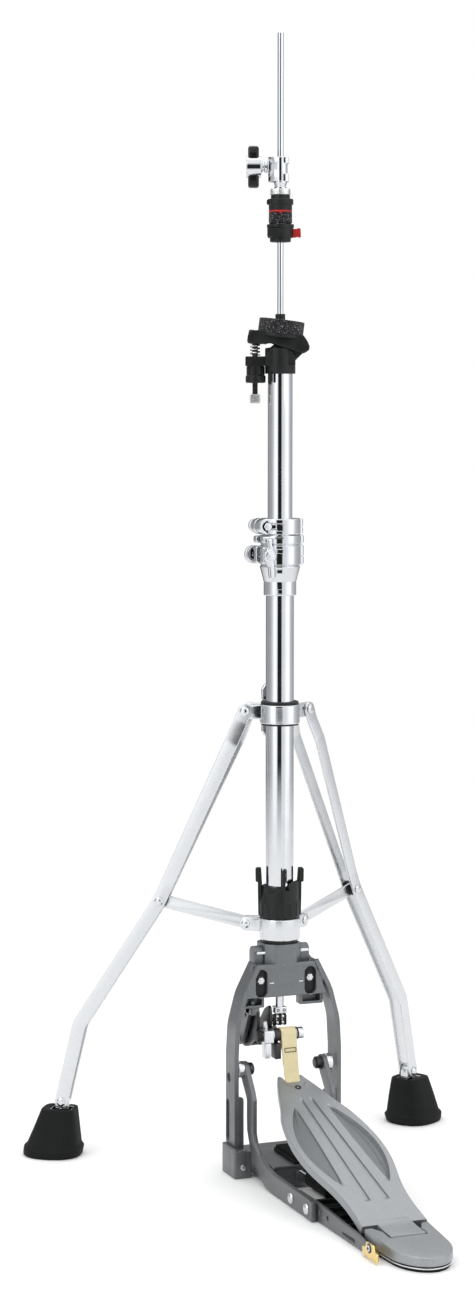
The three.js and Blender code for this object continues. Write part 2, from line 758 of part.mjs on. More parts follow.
function baseBumper() {
  const rodPart = bar(3.4, [0, -60, 12.2], [0, -92, 12.2], 16);
  const rubberPart = bar(9.6, [0, -91, 12.2], [0, -146, 12.2]);
  return rodPart.add(rubberPart);
}

piece("frame_casting", frameCasting(), castGrey);
piece("fascia_bolt_left", fasciaBolt(-27.3), steel);
piece("fascia_bolt_right", fasciaBolt(27.3), steel);
piece("frame_foot_left", frameFoot().mirror([1, 0, 0]), castGrey);
piece("frame_foot_right", frameFoot(), castGrey);
piece("base_platform", basePlatform(), castGrey);
piece("platform_pad", platformPad(), rubber);
piece("base_bumper", baseBumper(), rubber);

// Lever that turns the strap's pull into the rod's travel
function leverHanger() {
  const [y, z] = LEVER_PIVOT;
  const hangerBar = plateYZ(stadium([3, 182], [y, z], 6.6), -33.4, -28.4).trimByPlane([0, 0, -1], -173.2);
  const top = box(-33.4, -28.4, -4, 12, 166, 173.2);
  const pin = bar(3, [-37, y, z], [8, y, z], 16);
  const bolt = bar(5, [-37, y, z], [-33, y, z], 6);
  return joined([hangerBar, top, pin, bolt]);
}

function leverCam() {
  const [y, z] = LEVER_PIVOT;
  const [sy, sz] = STRAP_SHAFT;
  const hub = bar(9.5, [-27.9, y, z], [8, y, z]);
  const arm = plateYZ(stadium([y, z], [sy, sz], 6.4), -16, -9.2);
  const spacer = plateYZ(stadium([y, z], [10, 154], 9), -27.9, -10);
  const hook = plateYZ(stadium([y, z], [4, 141.5], 4.2), -10, 7);
  const bore = bar(3 + GAP, [-60, y, z], [60, y, z]);
  const shaftBore = bar(5 + GAP, [-30, sy, sz], [0, sy, sz]);
  const chainRoom = box(-8.9, 8.9, -4.6, 4.6, 149.5, 200);
  return joined([hub, arm, spacer, hook]).subtract(joined([bore, shaftBore, chainRoom]));
}

function strapShaft() {
  const [y, z] = STRAP_SHAFT;
  const shaft = bar(5, [-28, y, z], [12, y, z]);
  const end = bar(6, [11, y, z], [17.4, y, z]);
  const spacer = bar(6.4, [-34, y, z], [-27.8, y, z]);
  return joined([shaft, end, spacer]);
}

function shaftBlock() {
  const [y, z] = STRAP_SHAFT;
  const block = box(-27.2, -16.8, y - 7, y + 7, z - 7.4, z + 5.8);
  const tongue = box(-26, -19.8, y - 5, y + 5, z - 23, z - 7);
  const key = bar(2.3, [-23, y, z + 5], [-24, y - 1, z + 14], 10);
  const bore = bar(5 + GAP, [-60, y, z], [60, y, z]);
  return joined([block, tongue, key]).subtract(bore);
}

function pullStrap() {
  const [y, z] = STRAP_SHAFT;
  const loop = new THREE.Shape().absarc(y, z, 8, 0, 2 * Math.PI, false);
  const eye = new THREE.Path().absarc(y, z, 5.9, 0, 2 * Math.PI, true);
  loop.holes.push(eye);
  const band = stadium([y - 6.4, z - 1], [-38.4, 96.5], 1.1);
  return plateYZ(loop, -STRAP_HALF, STRAP_HALF).add(plateYZ(band, -STRAP_HALF, STRAP_HALF));
}

piece("lever_hanger", leverHanger(), castGrey);
piece("lever_cam", leverCam(), blackPlastic);
piece("strap_shaft", strapShaft(), chrome);
piece("shaft_block", shaftBlock(), steel);
piece("pull_strap", pullStrap(), webbing);

// Pedal
function sideArm() {
  const [py, pz] = ARM_PIVOT;
  const upper = stadium([py, pz], [-33, 84], 8.6);
  const post = stadium([-33.2, 84], [-33.2, 56], 8.4);
  const sweep = shapeOf([
    [-24.8, 60],
    [-41.6, 60],
    [-41.6, 50],
    [-48, 38],
    [-60, 29],
    [-80, 23.5],
    [-100, 21.5],
    [-196, 21],
    [-196, 1.2],
    [-92, 1.2],
    [-74, 3.5],
    [-58, 10],
    [-43, 21],
    [-33, 34],
    [-26, 48],
  ]);
  const flat = joined([upper, post, sweep].map((shape) => plateYZ(shape, ...ARM_X)));
  const spacer = bar(9, [ARM_X[1] - 1, py, pz], [FRAME_HALF - POST_THICK - GAP, py, pz]);
  const bolt = joined([
    bar(4, [ARM_X[0] - 7, py, pz], [FRAME_HALF + 1, py, pz], 16),
    bar(6.4, [ARM_X[0] - 7, py, pz], [ARM_X[0] + 1, py, pz], 8),
  ]);
  const heads = [-146, -186].map((y) => bar(5.4, [ARM_X[1] - 1, y, 10.5], [ARM_X[1] + 2.2, y, 10.5]));
  return joined([flat, spacer, bolt, ...heads]);
}

function frontArm() {
  const outline = shapeOf([
    [-150, 19.5],
    [-214, 19.5],
    [-300, 15],
    [-318, 9],
    [-318, 1.4],
    [-150, 1.4],
  ]);
  const bend = new THREE.Matrix4()
    .makeTranslation(41.1, -150, 0)
    .multiply(new THREE.Matrix4().makeRotationZ(-0.014))
    .multiply(new THREE.Matrix4().makeTranslation(-41.1, 150, 0));
  return placed(plateYZ(outline, 37.6, 41.1), bend);
}

function heelLink() {
  const cross = box(-40, 40, -286, -196, 4, 8);
  return joined([frontArm(), frontArm().mirror([1, 0, 0]), cross]);
}

const boardMatrix = new THREE.Matrix4()
  .makeTranslation(0, ...BOARD_HINGE_LINE)
  .multiply(new THREE.Matrix4().makeRotationX(BOARD_ANGLE));

function leafPocket(side) {
  const shape = new THREE.Shape();
  shape.moveTo(side * 17, 218);
  shape.quadraticCurveTo(side * 58, 150, side * 24, 68);
  shape.quadraticCurveTo(side * 17.5, 140, side * 17, 218);
  return shape;
}

function footboard() {
  const halfWidths = [
    [34.4, 0],
    [33.2, 24],
    [33.8, 45],
    [36.5, 68],
    [45, 108],
    [46.6, 138],
    [44.6, 166],
    [37.6, 203],
    [31.4, 220],
    [22.6, 250],
    [13.6, BOARD_LENGTH],
  ].map(([x, y]) => new THREE.Vector2(x, y));
  const edge = new THREE.SplineCurve(halfWidths).getPoints(26);
  const mirror = edge.map((point) => new THREE.Vector2(-point.x, point.y)).reverse();
  const outline = new THREE.Shape([...edge, ...mirror]);
  const slab = plateXY(outline, -BOARD_THICK, 0);
  const pockets = [-1, 1].map((side) => plateXY(leafPocket(side), -2, 1));
  const grooves = [-1, 1].map((side) => plateXY(stadium([side * 10, 44], [side * 5.5, 230], 1.8), -1.4, 1));
  const notch = box(-9.2, 9.2, BOARD_LENGTH - 13, BOARD_LENGTH + 5, -20, 5);
  const screw = bar(2.6, [0, 254, -0.5], [0, 254, 1.2], 12);
  const underside = box(-26, 26, 20, 240, -BOARD_THICK - 1, -4.5);
  const worked = slab.subtract(joined([...pockets, ...grooves, notch, underside])).add(screw);
  const board = placed(worked, boardMatrix);
  const [hy, hz] = HEEL_HINGE;
  const tongue = plateYZ(
    shapeOf([
      [-284, 20],
      [-296, 18],
      [hy - 3, 18],
      [hy - 6, 15],
      [hy - 5, 6.2],
      [hy + 4, 6.2],
      [hy + 8, 13],
      [-284, 14],
    ]),
    -18.6,
    18.6,
  );
  const pinHole = bar(2.3 + GAP, [-40, hy, hz], [40, hy, hz]);
  return board.add(tongue).subtract(pinHole);
}

function heelPlate() {
  const shape = new THREE.Shape();
  shape.moveTo(-HEEL_HALF, -295.5);
  shape.lineTo(-HEEL_HALF, -362);
  shape.absarc(-HEEL_HALF + 22, -362, 22, Math.PI, 1.5 * Math.PI, false);
  shape.absarc(HEEL_HALF - 22, -362, 22, 1.5 * Math.PI, 2 * Math.PI, false);
  shape.lineTo(HEEL_HALF, -295.5);
  const plate = plateXY(shape, 5.6, 18);
  const notch = box(-19.2, 19.2, HEEL_HINGE[0] - 8, -290, 0, 30);
  const pin = bar(2.3, [-25, HEEL_HINGE[0], HEEL_HINGE[1]], [25, HEEL_HINGE[0], HEEL_HINGE[1]], 12);
  return plate.subtract(notch).add(pin);
}

function heelSole() {
  const inset = HEEL_HALF - 2.2;
  const shape = new THREE.Shape();
  shape.moveTo(-inset, -298);
  shape.lineTo(-inset, -360);
  shape.absarc(-inset + 20, -360, 20, Math.PI, 1.5 * Math.PI, false);
  shape.absarc(inset - 20, -360, 20, 1.5 * Math.PI, 2 * Math.PI, false);
  shape.lineTo(inset, -298);
  return plateXY(shape, 0, 5.2);
}

function heelWedge() {
  return plateYZ(
    shapeOf([
      [-303, 5],
      [-336, 2],
      [-336, 11],
      [-320, 13],
      [-306, 9],
    ]),
    -41.8,
    -39.6,
  );
}

piece("side_arm_left", sideArm().mirror([1, 0, 0]), castGrey);
piece("side_arm_right", sideArm(), castGrey);
piece("heel_link", heelLink(), castGrey);
piece("footboard", footboard(), boardGrey);
piece("heel_plate", heelPlate(), boardGrey);
piece("heel_sole", heelSole(), rubber);
piece("heel_wedge", heelWedge(), brass);

// The origin is the middle of the bounding box, on the floor.
const extent = new THREE.Box3().setFromObject(stand, true);
const centre = extent.getCenter(new THREE.Vector3());
stand.position.set(-centre.x, -centre.y, 0);

export default stand;
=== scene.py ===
import math
import random

import bmesh
import bpy
from mathutils import Matrix, Vector


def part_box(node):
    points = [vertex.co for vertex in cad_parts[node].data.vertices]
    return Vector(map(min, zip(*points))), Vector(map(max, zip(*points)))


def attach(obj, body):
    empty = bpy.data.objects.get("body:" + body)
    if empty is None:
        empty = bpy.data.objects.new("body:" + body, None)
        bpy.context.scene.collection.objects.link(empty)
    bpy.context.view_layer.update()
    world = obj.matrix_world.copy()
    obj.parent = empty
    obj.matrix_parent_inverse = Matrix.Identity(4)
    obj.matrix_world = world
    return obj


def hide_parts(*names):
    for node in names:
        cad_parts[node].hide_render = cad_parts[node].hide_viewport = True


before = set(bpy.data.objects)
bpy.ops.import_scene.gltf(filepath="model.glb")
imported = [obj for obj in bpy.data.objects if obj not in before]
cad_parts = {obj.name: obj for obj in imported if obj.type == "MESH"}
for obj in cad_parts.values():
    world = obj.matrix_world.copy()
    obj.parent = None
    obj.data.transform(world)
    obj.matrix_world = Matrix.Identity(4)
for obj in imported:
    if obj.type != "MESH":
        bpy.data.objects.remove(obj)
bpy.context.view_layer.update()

random.seed(7)

# Everything below is in millimetres about the foot of the column, until COLUMN takes it to the row frame.
tube_low, tube_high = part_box("lower_tube")
middle_x, middle_y = (tube_low.x + tube_high.x) / 2, (tube_low.y + tube_high.y) / 2
COLUMN = Matrix.Translation((middle_x, middle_y, 0)) @ Matrix.Scale(0.001, 4)
ROD_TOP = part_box("pull_rod")[1].z * 1000
HEAD_TURN = math.radians(-21.3)
LEG_ANGLE = {"left": math.radians(90 + 58.3 - 1.5), "right": math.radians(90 - 58.3 - 1.5)}
IDENTITY = Matrix.Identity(4)
X, Y, Z = Vector((1, 0, 0)), Vector((0, 1, 0)), Vector((0, 0, 1))
FLOOR_FADE, FLOOR_REACH = 1.4, 3.2
CAMERA_OFFSET, CAMERA_TURN = Vector((-1.0657, -2.6155, 0.789)), (85.16, 0, -21.28)
SENSOR, LENS = 36, 76.5
MERGE_DISTANCE = 0.0015
CLUTCH_BOLT_Z, TILT_SCREW_X, CLAMP_BOLT_X, COLLAR_BOLT_Z = 1038.6, -25.8, -19.2, 478.8
SEAT_PIVOT, ARM_PIVOT = (23.8, 0, 857), (0, -12, 110.6)
HEEL_PIN, KEY_SCREW = (0, -316, 10), (-42.6, -328, 11.6)
FASCIA_SLOT_X, BUMPER_Z = 27.3, 12.2

# ---------------------------------------------------------------- materials


class Tree:
    """A short way to write a node tree."""

    def __init__(self, owner):
        owner.use_nodes = True
        self.tree = owner.node_tree

    def add(self, kind, values=None, links=None, **settings):
        node = self.tree.nodes.new(kind)
        for key, value in settings.items():
            setattr(node, key, value)
        for key, value in (values or {}).items():
            node.inputs[key].default_value = value
        for key, socket in (links or {}).items():
            self.tree.links.new(socket, node.inputs[key])
        return node

    def ramp(self, fac, *stops):
        node = self.add("ShaderNodeValToRGB", links={"Fac": fac})
        while len(node.color_ramp.elements) < len(stops):
            node.color_ramp.elements.new(0.5)
        for element, (position, color) in zip(node.color_ramp.elements, stops):
            element.position = position
            element.color = (*color, 1)
        return node.outputs["Color"]

    def mix(self, factor, a, b, **settings):
        node = self.add("ShaderNodeMix", data_type="RGBA", **settings)
        for key, value in (("Factor", factor), ("A", a), ("B", b)):
            if isinstance(value, (float, tuple)):
                node.inputs[key].default_value = value
            else:
                self.tree.links.new(value, node.inputs[key])
        return node.outputs["Result"]


class Look(Tree):
    """A material on the Principled shader, placed by object coordinates."""

    def __init__(self, name):
        self.material = bpy.data.materials.new(name)
        super().__init__(self.material)
        self.shader = self.tree.nodes["Principled BSDF"]
        self.place = self.add("ShaderNodeTexCoord").outputs["Object"]

    def set(self, **values):
        for key, value in values.items():
            self.shader.inputs[key.replace("_", " ")].default_value = value
        return self

    def noise(self, scale, detail=3, roughness=0.55, stretch=None):
        place = self.place
        if stretch:
            place = self.add("ShaderNodeMapping", {"Scale": stretch}, {"Vector": place}).outputs["Vector"]
        values = {"Scale": scale, "Detail": detail, "Roughness": roughness}
        return self.add("ShaderNodeTexNoise", values, {"Vector": place}).outputs["Fac"]

    def range(self, fac, low, high, start=0.35, end=0.65):
        values = {"From Min": start, "From Max": end, "To Min": low, "To Max": high}
        return self.add("ShaderNodeMapRange", values, {"Value": fac}).outputs["Result"]

    def bump(self, *heights):
        normal = None
        for height, strength, distance in heights:
            links = {"Height": height}
            if normal:
                links["Normal"] = normal
            node = self.add("ShaderNodeBump", {"Strength": strength, "Distance": distance}, links)
            normal = node.outputs["Normal"]
        self.link(Normal=normal)
        return self

    def link(self, **sockets):
        for key, socket in sockets.items():
            self.tree.links.new(socket, self.shader.inputs[key.replace("_", " ")])
        return self


def shade(color, factor):
    """The colour made lighter or darker."""
    return tuple(min(1, channel * factor) for channel in color)


def metal(name, color, rough, smudge=0.06, grain=None):
    """Plated metal: faint handling marks in the roughness and a very slight waviness."""
    n = Look(name).set(Metallic=1.0)
    marks = n.noise(38, 5)
    n.link(Base_Color=n.ramp(marks, (0.3, shade(color, 0.93)), (0.7, color)))
    n.link(Roughness=n.range(marks, rough, rough + smudge))
    fine = n.noise(*grain) if grain else n.noise(22, 2)
    n.bump((fine, 0.12 if grain else 0.035, 0.0004))
    return n.material


def cast_paint(name, dark, light, rough=0.42):
    """Metallic paint on a casting: flakes, a sandy skin and a little rub."""
    n = Look(name).set(Metallic=0.7)
    n.set(Coat_Weight=0.18, Coat_Roughness=0.3)
    flakes = n.noise(2600, 2, 0.7)
    cloud = n.noise(24, 4)
    base = n.ramp(flakes, (0.3, dark), (0.5, light), (0.72, shade(light, 1.35)))
    veil = n.ramp(cloud, (0.35, (0.78, 0.79, 0.8)), (0.65, (1, 1, 1)))
    n.link(Base_Color=n.mix(0.25, base, veil, blend_type="MULTIPLY"),
        Roughness=n.range(cloud, rough - 0.05, rough + 0.08))
    n.bump((flakes, 0.1, 0.0002), (n.noise(900, 3), 0.14, 0.0003))
    return n.material


def plastic(name, color, rough=0.46, grain=0.14, spread=0.25):
    """Moulded nylon with a fine grain."""
    n = Look(name).set(Specular_IOR_Level=0.28)
    cloud = n.noise(60, 4)
    n.link(Base_Color=n.ramp(cloud, (0.3, shade(color, 1 - spread)), (0.7, shade(color, 1 + spread))))
    n.link(Roughness=n.range(cloud, rough - 0.06, rough + 0.08))
    n.bump((n.noise(1500, 2), grain, 0.0002))
    return n.material


def felt_look(name):
    """Pressed felt: dark fibres with pale ones among them."""
    n = Look(name).set(Roughness=1.0, Sheen_Weight=0.12, Sheen_Roughness=0.5, Specular_IOR_Level=0.1)
    fibres = n.noise(620, 6, 0.75)
    curls = n.add("ShaderNodeTexVoronoi", {"Scale": 520}, {"Vector": n.place}, feature="DISTANCE_TO_EDGE")
    spots = n.ramp(fibres, (0.4, (0.006, 0.006, 0.007)), (0.56, (0.035, 0.035, 0.037)),
        (0.68, (0.4, 0.4, 0.41)))
    n.link(Base_Color=spots)
    n.bump((fibres, 0.9, 0.0012), (curls.outputs["Distance"], 0.5, 0.0008))
    return n.material


def rubber_look(name, color, rough=0.8):
    """Matt rubber with a little dust."""
    n = Look(name).set(Specular_IOR_Level=0.18, Sheen_Weight=0.02)
    dust = n.noise(45, 6)
    n.link(Base_Color=n.ramp(dust, (0.3, shade(color, 0.7)), (0.75, shade(color, 1.7))))
    n.link(Roughness=n.range(dust, rough - 0.12, rough + 0.08))
    n.bump((n.noise(1100, 3), 0.25, 0.0003))
    return n.material


def woven_look(name):
    """Plain weave: two crossed sets of threads with darker gaps between them."""
    n = Look(name).set(Roughness=0.92, Sheen_Weight=0.3, Specular_IOR_Level=0.2)
    warp, weft = (
        n.add(
            "ShaderNodeTexWave",
            {"Scale": scale, "Distortion": distortion, "Detail": 1},
            {"Vector": n.place},
            wave_type="BANDS",
            bands_direction=axis,
        )
        for scale, distortion, axis in ((620, 0.6, "X"), (560, 0.8, "Z"))
    )
    both = n.add("ShaderNodeMath", {}, {0: warp.outputs["Fac"], 1: weft.outputs["Fac"]},
        operation="MULTIPLY")
    fuzz = n.noise(900, 4, 0.7)
    color = n.ramp(both.outputs["Value"], (0.0, (0.68, 0.58, 0.32)), (0.35, (0.86, 0.77, 0.5)),
        (0.9, (0.93, 0.87, 0.63)))
    veil = n.ramp(fuzz, (0.3, (0.72, 0.7, 0.62)), (0.6, (1, 1, 1)))
    n.link(Base_Color=n.mix(0.35, color, veil, blend_type="MULTIPLY"))
    n.bump((both.outputs["Value"], 0.5, 0.0006), (fuzz, 0.3, 0.0004))
    return n.material


CHROME = metal("chrome_plate", (0.65, 0.665, 0.685), 0.05)
SOFT_CHROME = metal("bright_plate", (0.68, 0.695, 0.71), 0.24, 0.08)
SATIN = metal("satin_plate", (0.7, 0.715, 0.73), 0.2, 0.1)
STEEL = metal("turned_steel", (0.62, 0.63, 0.64), 0.26, 0.1, (900, 2, 0.5))
NICKEL = metal("nickel_knurl", (0.8, 0.8, 0.79), 0.3, 0.08)
BRASS = metal("worn_brass", (0.83, 0.63, 0.27), 0.24, 0.14)
DARK_CAST = cast_paint("dark_cast_paint", (0.075, 0.08, 0.084), (0.165, 0.174, 0.18))
LIGHT_CAST = cast_paint("light_cast_paint", (0.17, 0.18, 0.187), (0.33, 0.345, 0.355))
POCKET_CAST = cast_paint("pocket_cast_paint", (0.08, 0.086, 0.09), (0.19, 0.2, 0.206), 0.5)
# Black nylon for the black plastic parts; under the footboard the same material is painted shade on the
# grey heel link.
BLACK_AND_PAINTED_SHADE = plastic("black_nylon_and_painted_shade", (0.0085, 0.0092, 0.0095), 0.42)
GLOSS_BLACK = plastic("gloss_black_nylon", (0.012, 0.012, 0.013), 0.16, 0.03)
BLACK_OXIDE = metal("black_oxide_steel", (0.06, 0.06, 0.062), 0.32, 0.12)
RED = plastic("red_nylon", (0.40, 0.022, 0.02), 0.34, 0.08, 0.12)
FELT = felt_look("pressed_felt")
RUBBER = rubber_look("moulded_rubber", (0.0065, 0.007, 0.0072))
WEBBING = woven_look("woven_webbing")
THREAD = plastic("stitching", (0.02, 0.02, 0.018), 0.8, 0.4)

# ---------------------------------------------------------------- shells


def skin(rings, caps=True, loop=False):
    """Closed surface through rings of equal length; each ring is a loop of points."""
    count = len(rings[0])
    verts = [tuple(p) for ring in rings for p in ring]
    faces = []
    for i in range(len(rings) if loop else len(rings) - 1):
        a, b = i * count, ((i + 1) % len(rings)) * count
        for j in range(count):
            k = (j + 1) % count
            faces.append((a + j, a + k, b + k, b + j))
    if caps and not loop:
        faces.append(tuple(reversed(range(count))))
        faces.append(tuple(range(len(verts) - count, len(verts))))
    return verts, faces


def filleted(points, radius, steps=4, closed=True):
    """The polygon with every corner rounded by up to radius."""
    out = []
    count = len(points)
    for i, here in enumerate(points):
        here = Vector(here)
        if not closed and i in (0, count - 1):
            out.append(here)
            continue
        before = Vector(points[i - 1]) - here
        after = Vector(points[(i + 1) % count]) - here
        if before.length < 1e-6 or after.length < 1e-6:
            continue
        turn = math.pi - before.angle(after)
        if turn < 0.05:
            out.append(here)
            continue
        cut = min(radius * math.tan(turn / 2), 0.48 * before.length, 0.48 * after.length)
        a, b = here + before.normalized() * cut, here + after.normalized() * cut
        for s in range(steps + 1):
            t = s / steps
            out.append(a.lerp(here, t).lerp(here.lerp(b, t), t))
    return out


def rounded(points, radius, steps=4):
    """A closed outline with rounded corners, as plain pairs."""
    return [tuple(v) for v in filleted(points, radius, steps)]


def turned(profile, fillet=0.6, sides=72):
    """Revolved about Z. A profile that starts on the axis is solid, any other closes on itself."""
    solid = profile[0][0] == 0
    points = filleted(profile, fillet, 4, closed=not solid)
    rings = []
    for j in range(sides):
        a = math.tau * j / sides
        rings.append([(max(r, 0.0005) * math.cos(a), max(r, 0.0005) * math.sin(a), z) for r, z in points])
    count = len(points)
    verts = [p for ring in rings for p in ring]
    faces = []
    for j in range(sides):
        k = (j + 1) % sides
        for i in range(count - (1 if solid else 0)):
            m = (i + 1) % count
            faces.append((j * count + i, k * count + i, k * count + m, j * count + m))
    return verts, faces


def cylinder(radius, z0, z1, fillet=0.5, sides=56):
    return turned([(0, z0), (radius, z0), (radius, z1), (0, z1)], fillet, sides)


def tube(outer, inner, z0, z1, fillet=0.5, sides=72):
    return turned([(inner, z0), (outer, z0), (outer, z1), (inner, z1)], fillet, sides)


def plate(outlines, depth, bevel=0.6, steps=3):
    """Flat plate from z = 0 to depth; the first outline is the edge, the others are holes."""
    curve = bpy.data.curves.new("outline", "CURVE")
    curve.dimensions = "2D"
    curve.fill_mode = "BOTH"
    bevel = min(bevel, depth * 0.45)
    curve.extrude = depth / 2 - bevel
    curve.bevel_depth = bevel
    curve.bevel_resolution = steps
    curve.offset = -bevel
    for outline in outlines:
        spline = curve.splines.new("POLY")
        spline.points.add(len(outline) - 1)
        for point, (u, v) in zip(spline.points, outline):
            point.co = (u, v, 0, 1)
        spline.use_cyclic_u = True
    holder = scene_object("outline", curve)
    bpy.context.view_layer.update()
    mesh = bpy.data.meshes.new_from_object(holder.evaluated_get(bpy.context.evaluated_depsgraph_get()))
    verts = [(v.co.x, v.co.y, v.co.z + depth / 2) for v in mesh.vertices]
    faces = [tuple(p.vertices) for p in mesh.polygons]
    bpy.data.objects.remove(holder)
    bpy.data.curves.remove(curve)
    bpy.data.meshes.remove(mesh)
    return verts, faces


def block(x0, x1, y0, y1, z0, z1, bevel=0.8):
    """Box with rounded edges."""
    bm = bmesh.new()
    bmesh.ops.create_cube(bm, size=1)
    size = Vector((x1 - x0, y1 - y0, z1 - z0))
    middle = Vector((x0 + x1, y0 + y1, z0 + z1)) / 2
    for v in bm.verts:
        v.co = Vector((v.co.x * size.x, v.co.y * size.y, v.co.z * size.z)) + middle
    bevel = min(bevel, min(size) * 0.45)
    bmesh.ops.bevel(bm, geom=bm.edges[:], offset=bevel, segments=3, profile=0.5, affect="EDGES")
    bm.verts.index_update()
    verts = [tuple(v.co) for v in bm.verts]
    faces = [tuple(v.index for v in f.verts) for f in bm.faces]
    bm.free()
    return verts, faces


def circle(radius, count=48, centre=(0, 0)):
    step = math.tau / count
    u, v = centre
    return [(u + radius * math.cos(i * step), v + radius * math.sin(i * step)) for i in range(count)]


def stadium(a, b, radius, count=16):
    angle = math.atan2(b[1] - a[1], b[0] - a[0])
    points = []
    for centre, start in ((b, angle - math.pi / 2), (a, angle + math.pi / 2)):
        for i in range(count + 1):
            t = start + math.pi * i / count
            points.append((centre[0] + radius * math.cos(t), centre[1] + radius * math.sin(t)))
    return points


def rounded_section(width, thick, radius, steps=3):
    w, t = width / 2, thick / 2
    corners = [(-w, -t), (w, -t), (w, t), (-w, t)]
    return rounded(corners, min(radius, t * 0.95), steps)


def coil(radius, wire, z0, z1, turns, steps=28, sides=10):
    rings = []
    total = int(turns * steps)
    for i in range(total + 1):
        a = math.tau * i / steps
        z = z0 + (z1 - z0) * i / total
        out = Vector((math.cos(a), math.sin(a), 0))
        centre = out * radius + Z * z
        rings.append(
            [
                centre + (out * math.cos(math.tau * j / sides) + Z * math.sin(math.tau * j / sides)) * wire
                for j in range(sides)
            ]
        )
    return skin(rings)


def smooth_path(points, radius, spacing=2.0):
    """Points with rounded corners, filled in so that no step is longer than spacing."""
    corners = filleted([Vector(p) for p in points], radius, 8, closed=False)
    out = [corners[0]]
    for nxt in corners[1:]:
        gap = (nxt - out[-1]).length
        if gap < 1e-4:
            continue
        base = out[-1]
        for i in range(1, int(gap / spacing) + 1):
            out.append(base.lerp(nxt, i / (int(gap / spacing) + 1)))
        out.append(nxt)
    return out


def heading(path, i):
    """Direction of a path at one of its points."""
    return (path[min(i + 1, len(path) - 1)] - path[max(i - 1, 0)]).normalized()


def basis(x, y, z, at=(0, 0, 0)):
    return Matrix.Translation(at) @ Matrix((x, y, z)).transposed().to_4x4()


def shift(x=0, y=0, z=0):
    return Matrix.Translation((x, y, z))


def along(direction, at=(0, 0, 0)):
    """Takes the Z axis to a direction."""
    turned_way = Z.rotation_difference(Vector(direction))
    return Matrix.Translation(at) @ turned_way.to_matrix().to_4x4()


def looking_back(x, y, z):
    """Takes Z to +Y, keeping X."""
    return basis(X, -Z, Y, (x, y, z))


def looking_out(x, y, z):
    """Takes Z to -Y, keeping X."""
    return basis(X, Z, -Y, (x, y, z))


def plane_yz(x0):
    return basis(Y, Z, X, (x0, 0, 0))


def plane_xz(y1):
    """Outlines in (x, z); the thickness runs from y1 towards -Y."""
    return looking_out(0, y1, 0)


def turn(angle):
    return Matrix.Rotation(angle, 4, "Z")


MIRROR = Matrix.Scale(-1, 4, X)


def shade_smooth(mesh, angle=32):
    for polygon in mesh.polygons:
        polygon.use_smooth = True
    mesh.set_sharp_from_angle(angle=math.radians(angle))


def scene_object(name, data):
    made = bpy.data.objects.new(name, data)
    bpy.context.scene.collection.objects.link(made)
    return made


class Piece:
    """One visual object made of closed shells, given in millimetres."""

    def __init__(self, name, body, slot, material, stands_for=(), place=IDENTITY):
        self.name, self.body, self.slot_name = name, body, slot
        self.materials = [material]
        self.stands_for = [stands_for] if isinstance(stands_for, str) else list(stands_for)
        self.bm = bmesh.new()
        self.matrix = COLUMN @ place

    def add(self, shell, matrix=IDENTITY, material=None):
        if material and material not in self.materials:
            self.materials.append(material)
        index = self.materials.index(material) if material else 0
        verts, faces = shell
        made = [self.bm.verts.new(matrix @ Vector(v)) for v in verts]
        for face in faces:
            try:
                self.bm.faces.new([made[i] for i in face]).material_index = index
            except ValueError:
                pass
        return self

    def done(self, angle=32):
        bmesh.ops.remove_doubles(self.bm, verts=self.bm.verts, dist=MERGE_DISTANCE)
        bmesh.ops.recalc_face_normals(self.bm, faces=self.bm.faces)
        mesh = bpy.data.meshes.new(self.name)
        self.bm.transform(self.matrix)
        self.bm.to_mesh(mesh)
        self.bm.free()
        if self.matrix.determinant() < 0:
            mesh.flip_normals()
        for material in self.materials:
            mesh.materials.append(material)
        made = scene_object(self.name, mesh)
        shade_smooth(mesh, angle)
        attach(made, self.body)
        if self.stands_for:
            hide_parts(*self.stands_for)
        return made


def cut(target, *shells):
    """Takes closed shells, given as (shell, matrix) in millimetres, out of a finished piece."""
    bm = bmesh.new()
    for (verts, faces), matrix in shells:
        made = [bm.verts.new(matrix @ Vector(v)) for v in verts]
        for face in faces:
            bm.faces.new([made[i] for i in face])
    bmesh.ops.remove_doubles(bm, verts=bm.verts, dist=MERGE_DISTANCE)
    bmesh.ops.recalc_face_normals(bm, faces=bm.faces)
    mesh = bpy.data.meshes.new("cutter")
    bm.transform(COLUMN)
    bm.to_mesh(mesh)
    bm.free()
    tool = scene_object("cutter", mesh)
    boolean = target.modifiers.new("cut", "BOOLEAN")
    boolean.object = tool
    boolean.operation = "DIFFERENCE"
    boolean.solver = "EXACT"
    boolean.use_self = True
    bpy.context.view_layer.update()
    result = bpy.data.meshes.new_from_object(target.evaluated_get(bpy.context.evaluated_depsgraph_get()))
    result.validate()
    target.modifiers.clear()
    target.data = result
    bpy.data.objects.remove(tool)
    shade_smooth(result)


HEAD = turn(HEAD_TURN)


# ---------------------------------------------------------------- rod, clutch


def pull_rod():
    p = Piece("rod_bar", "rod", "chrome", CHROME, "pull_rod")
    p.add(turned([(0, 174), (3.15, 174), (3.15, ROD_TOP - 0.8), (2.4, ROD_TOP), (0, ROD_TOP)], 0.5, 40))
    p.add(tube(9.6, 2.6, 430, 434, 0.5), material=SATIN)
    p.done()


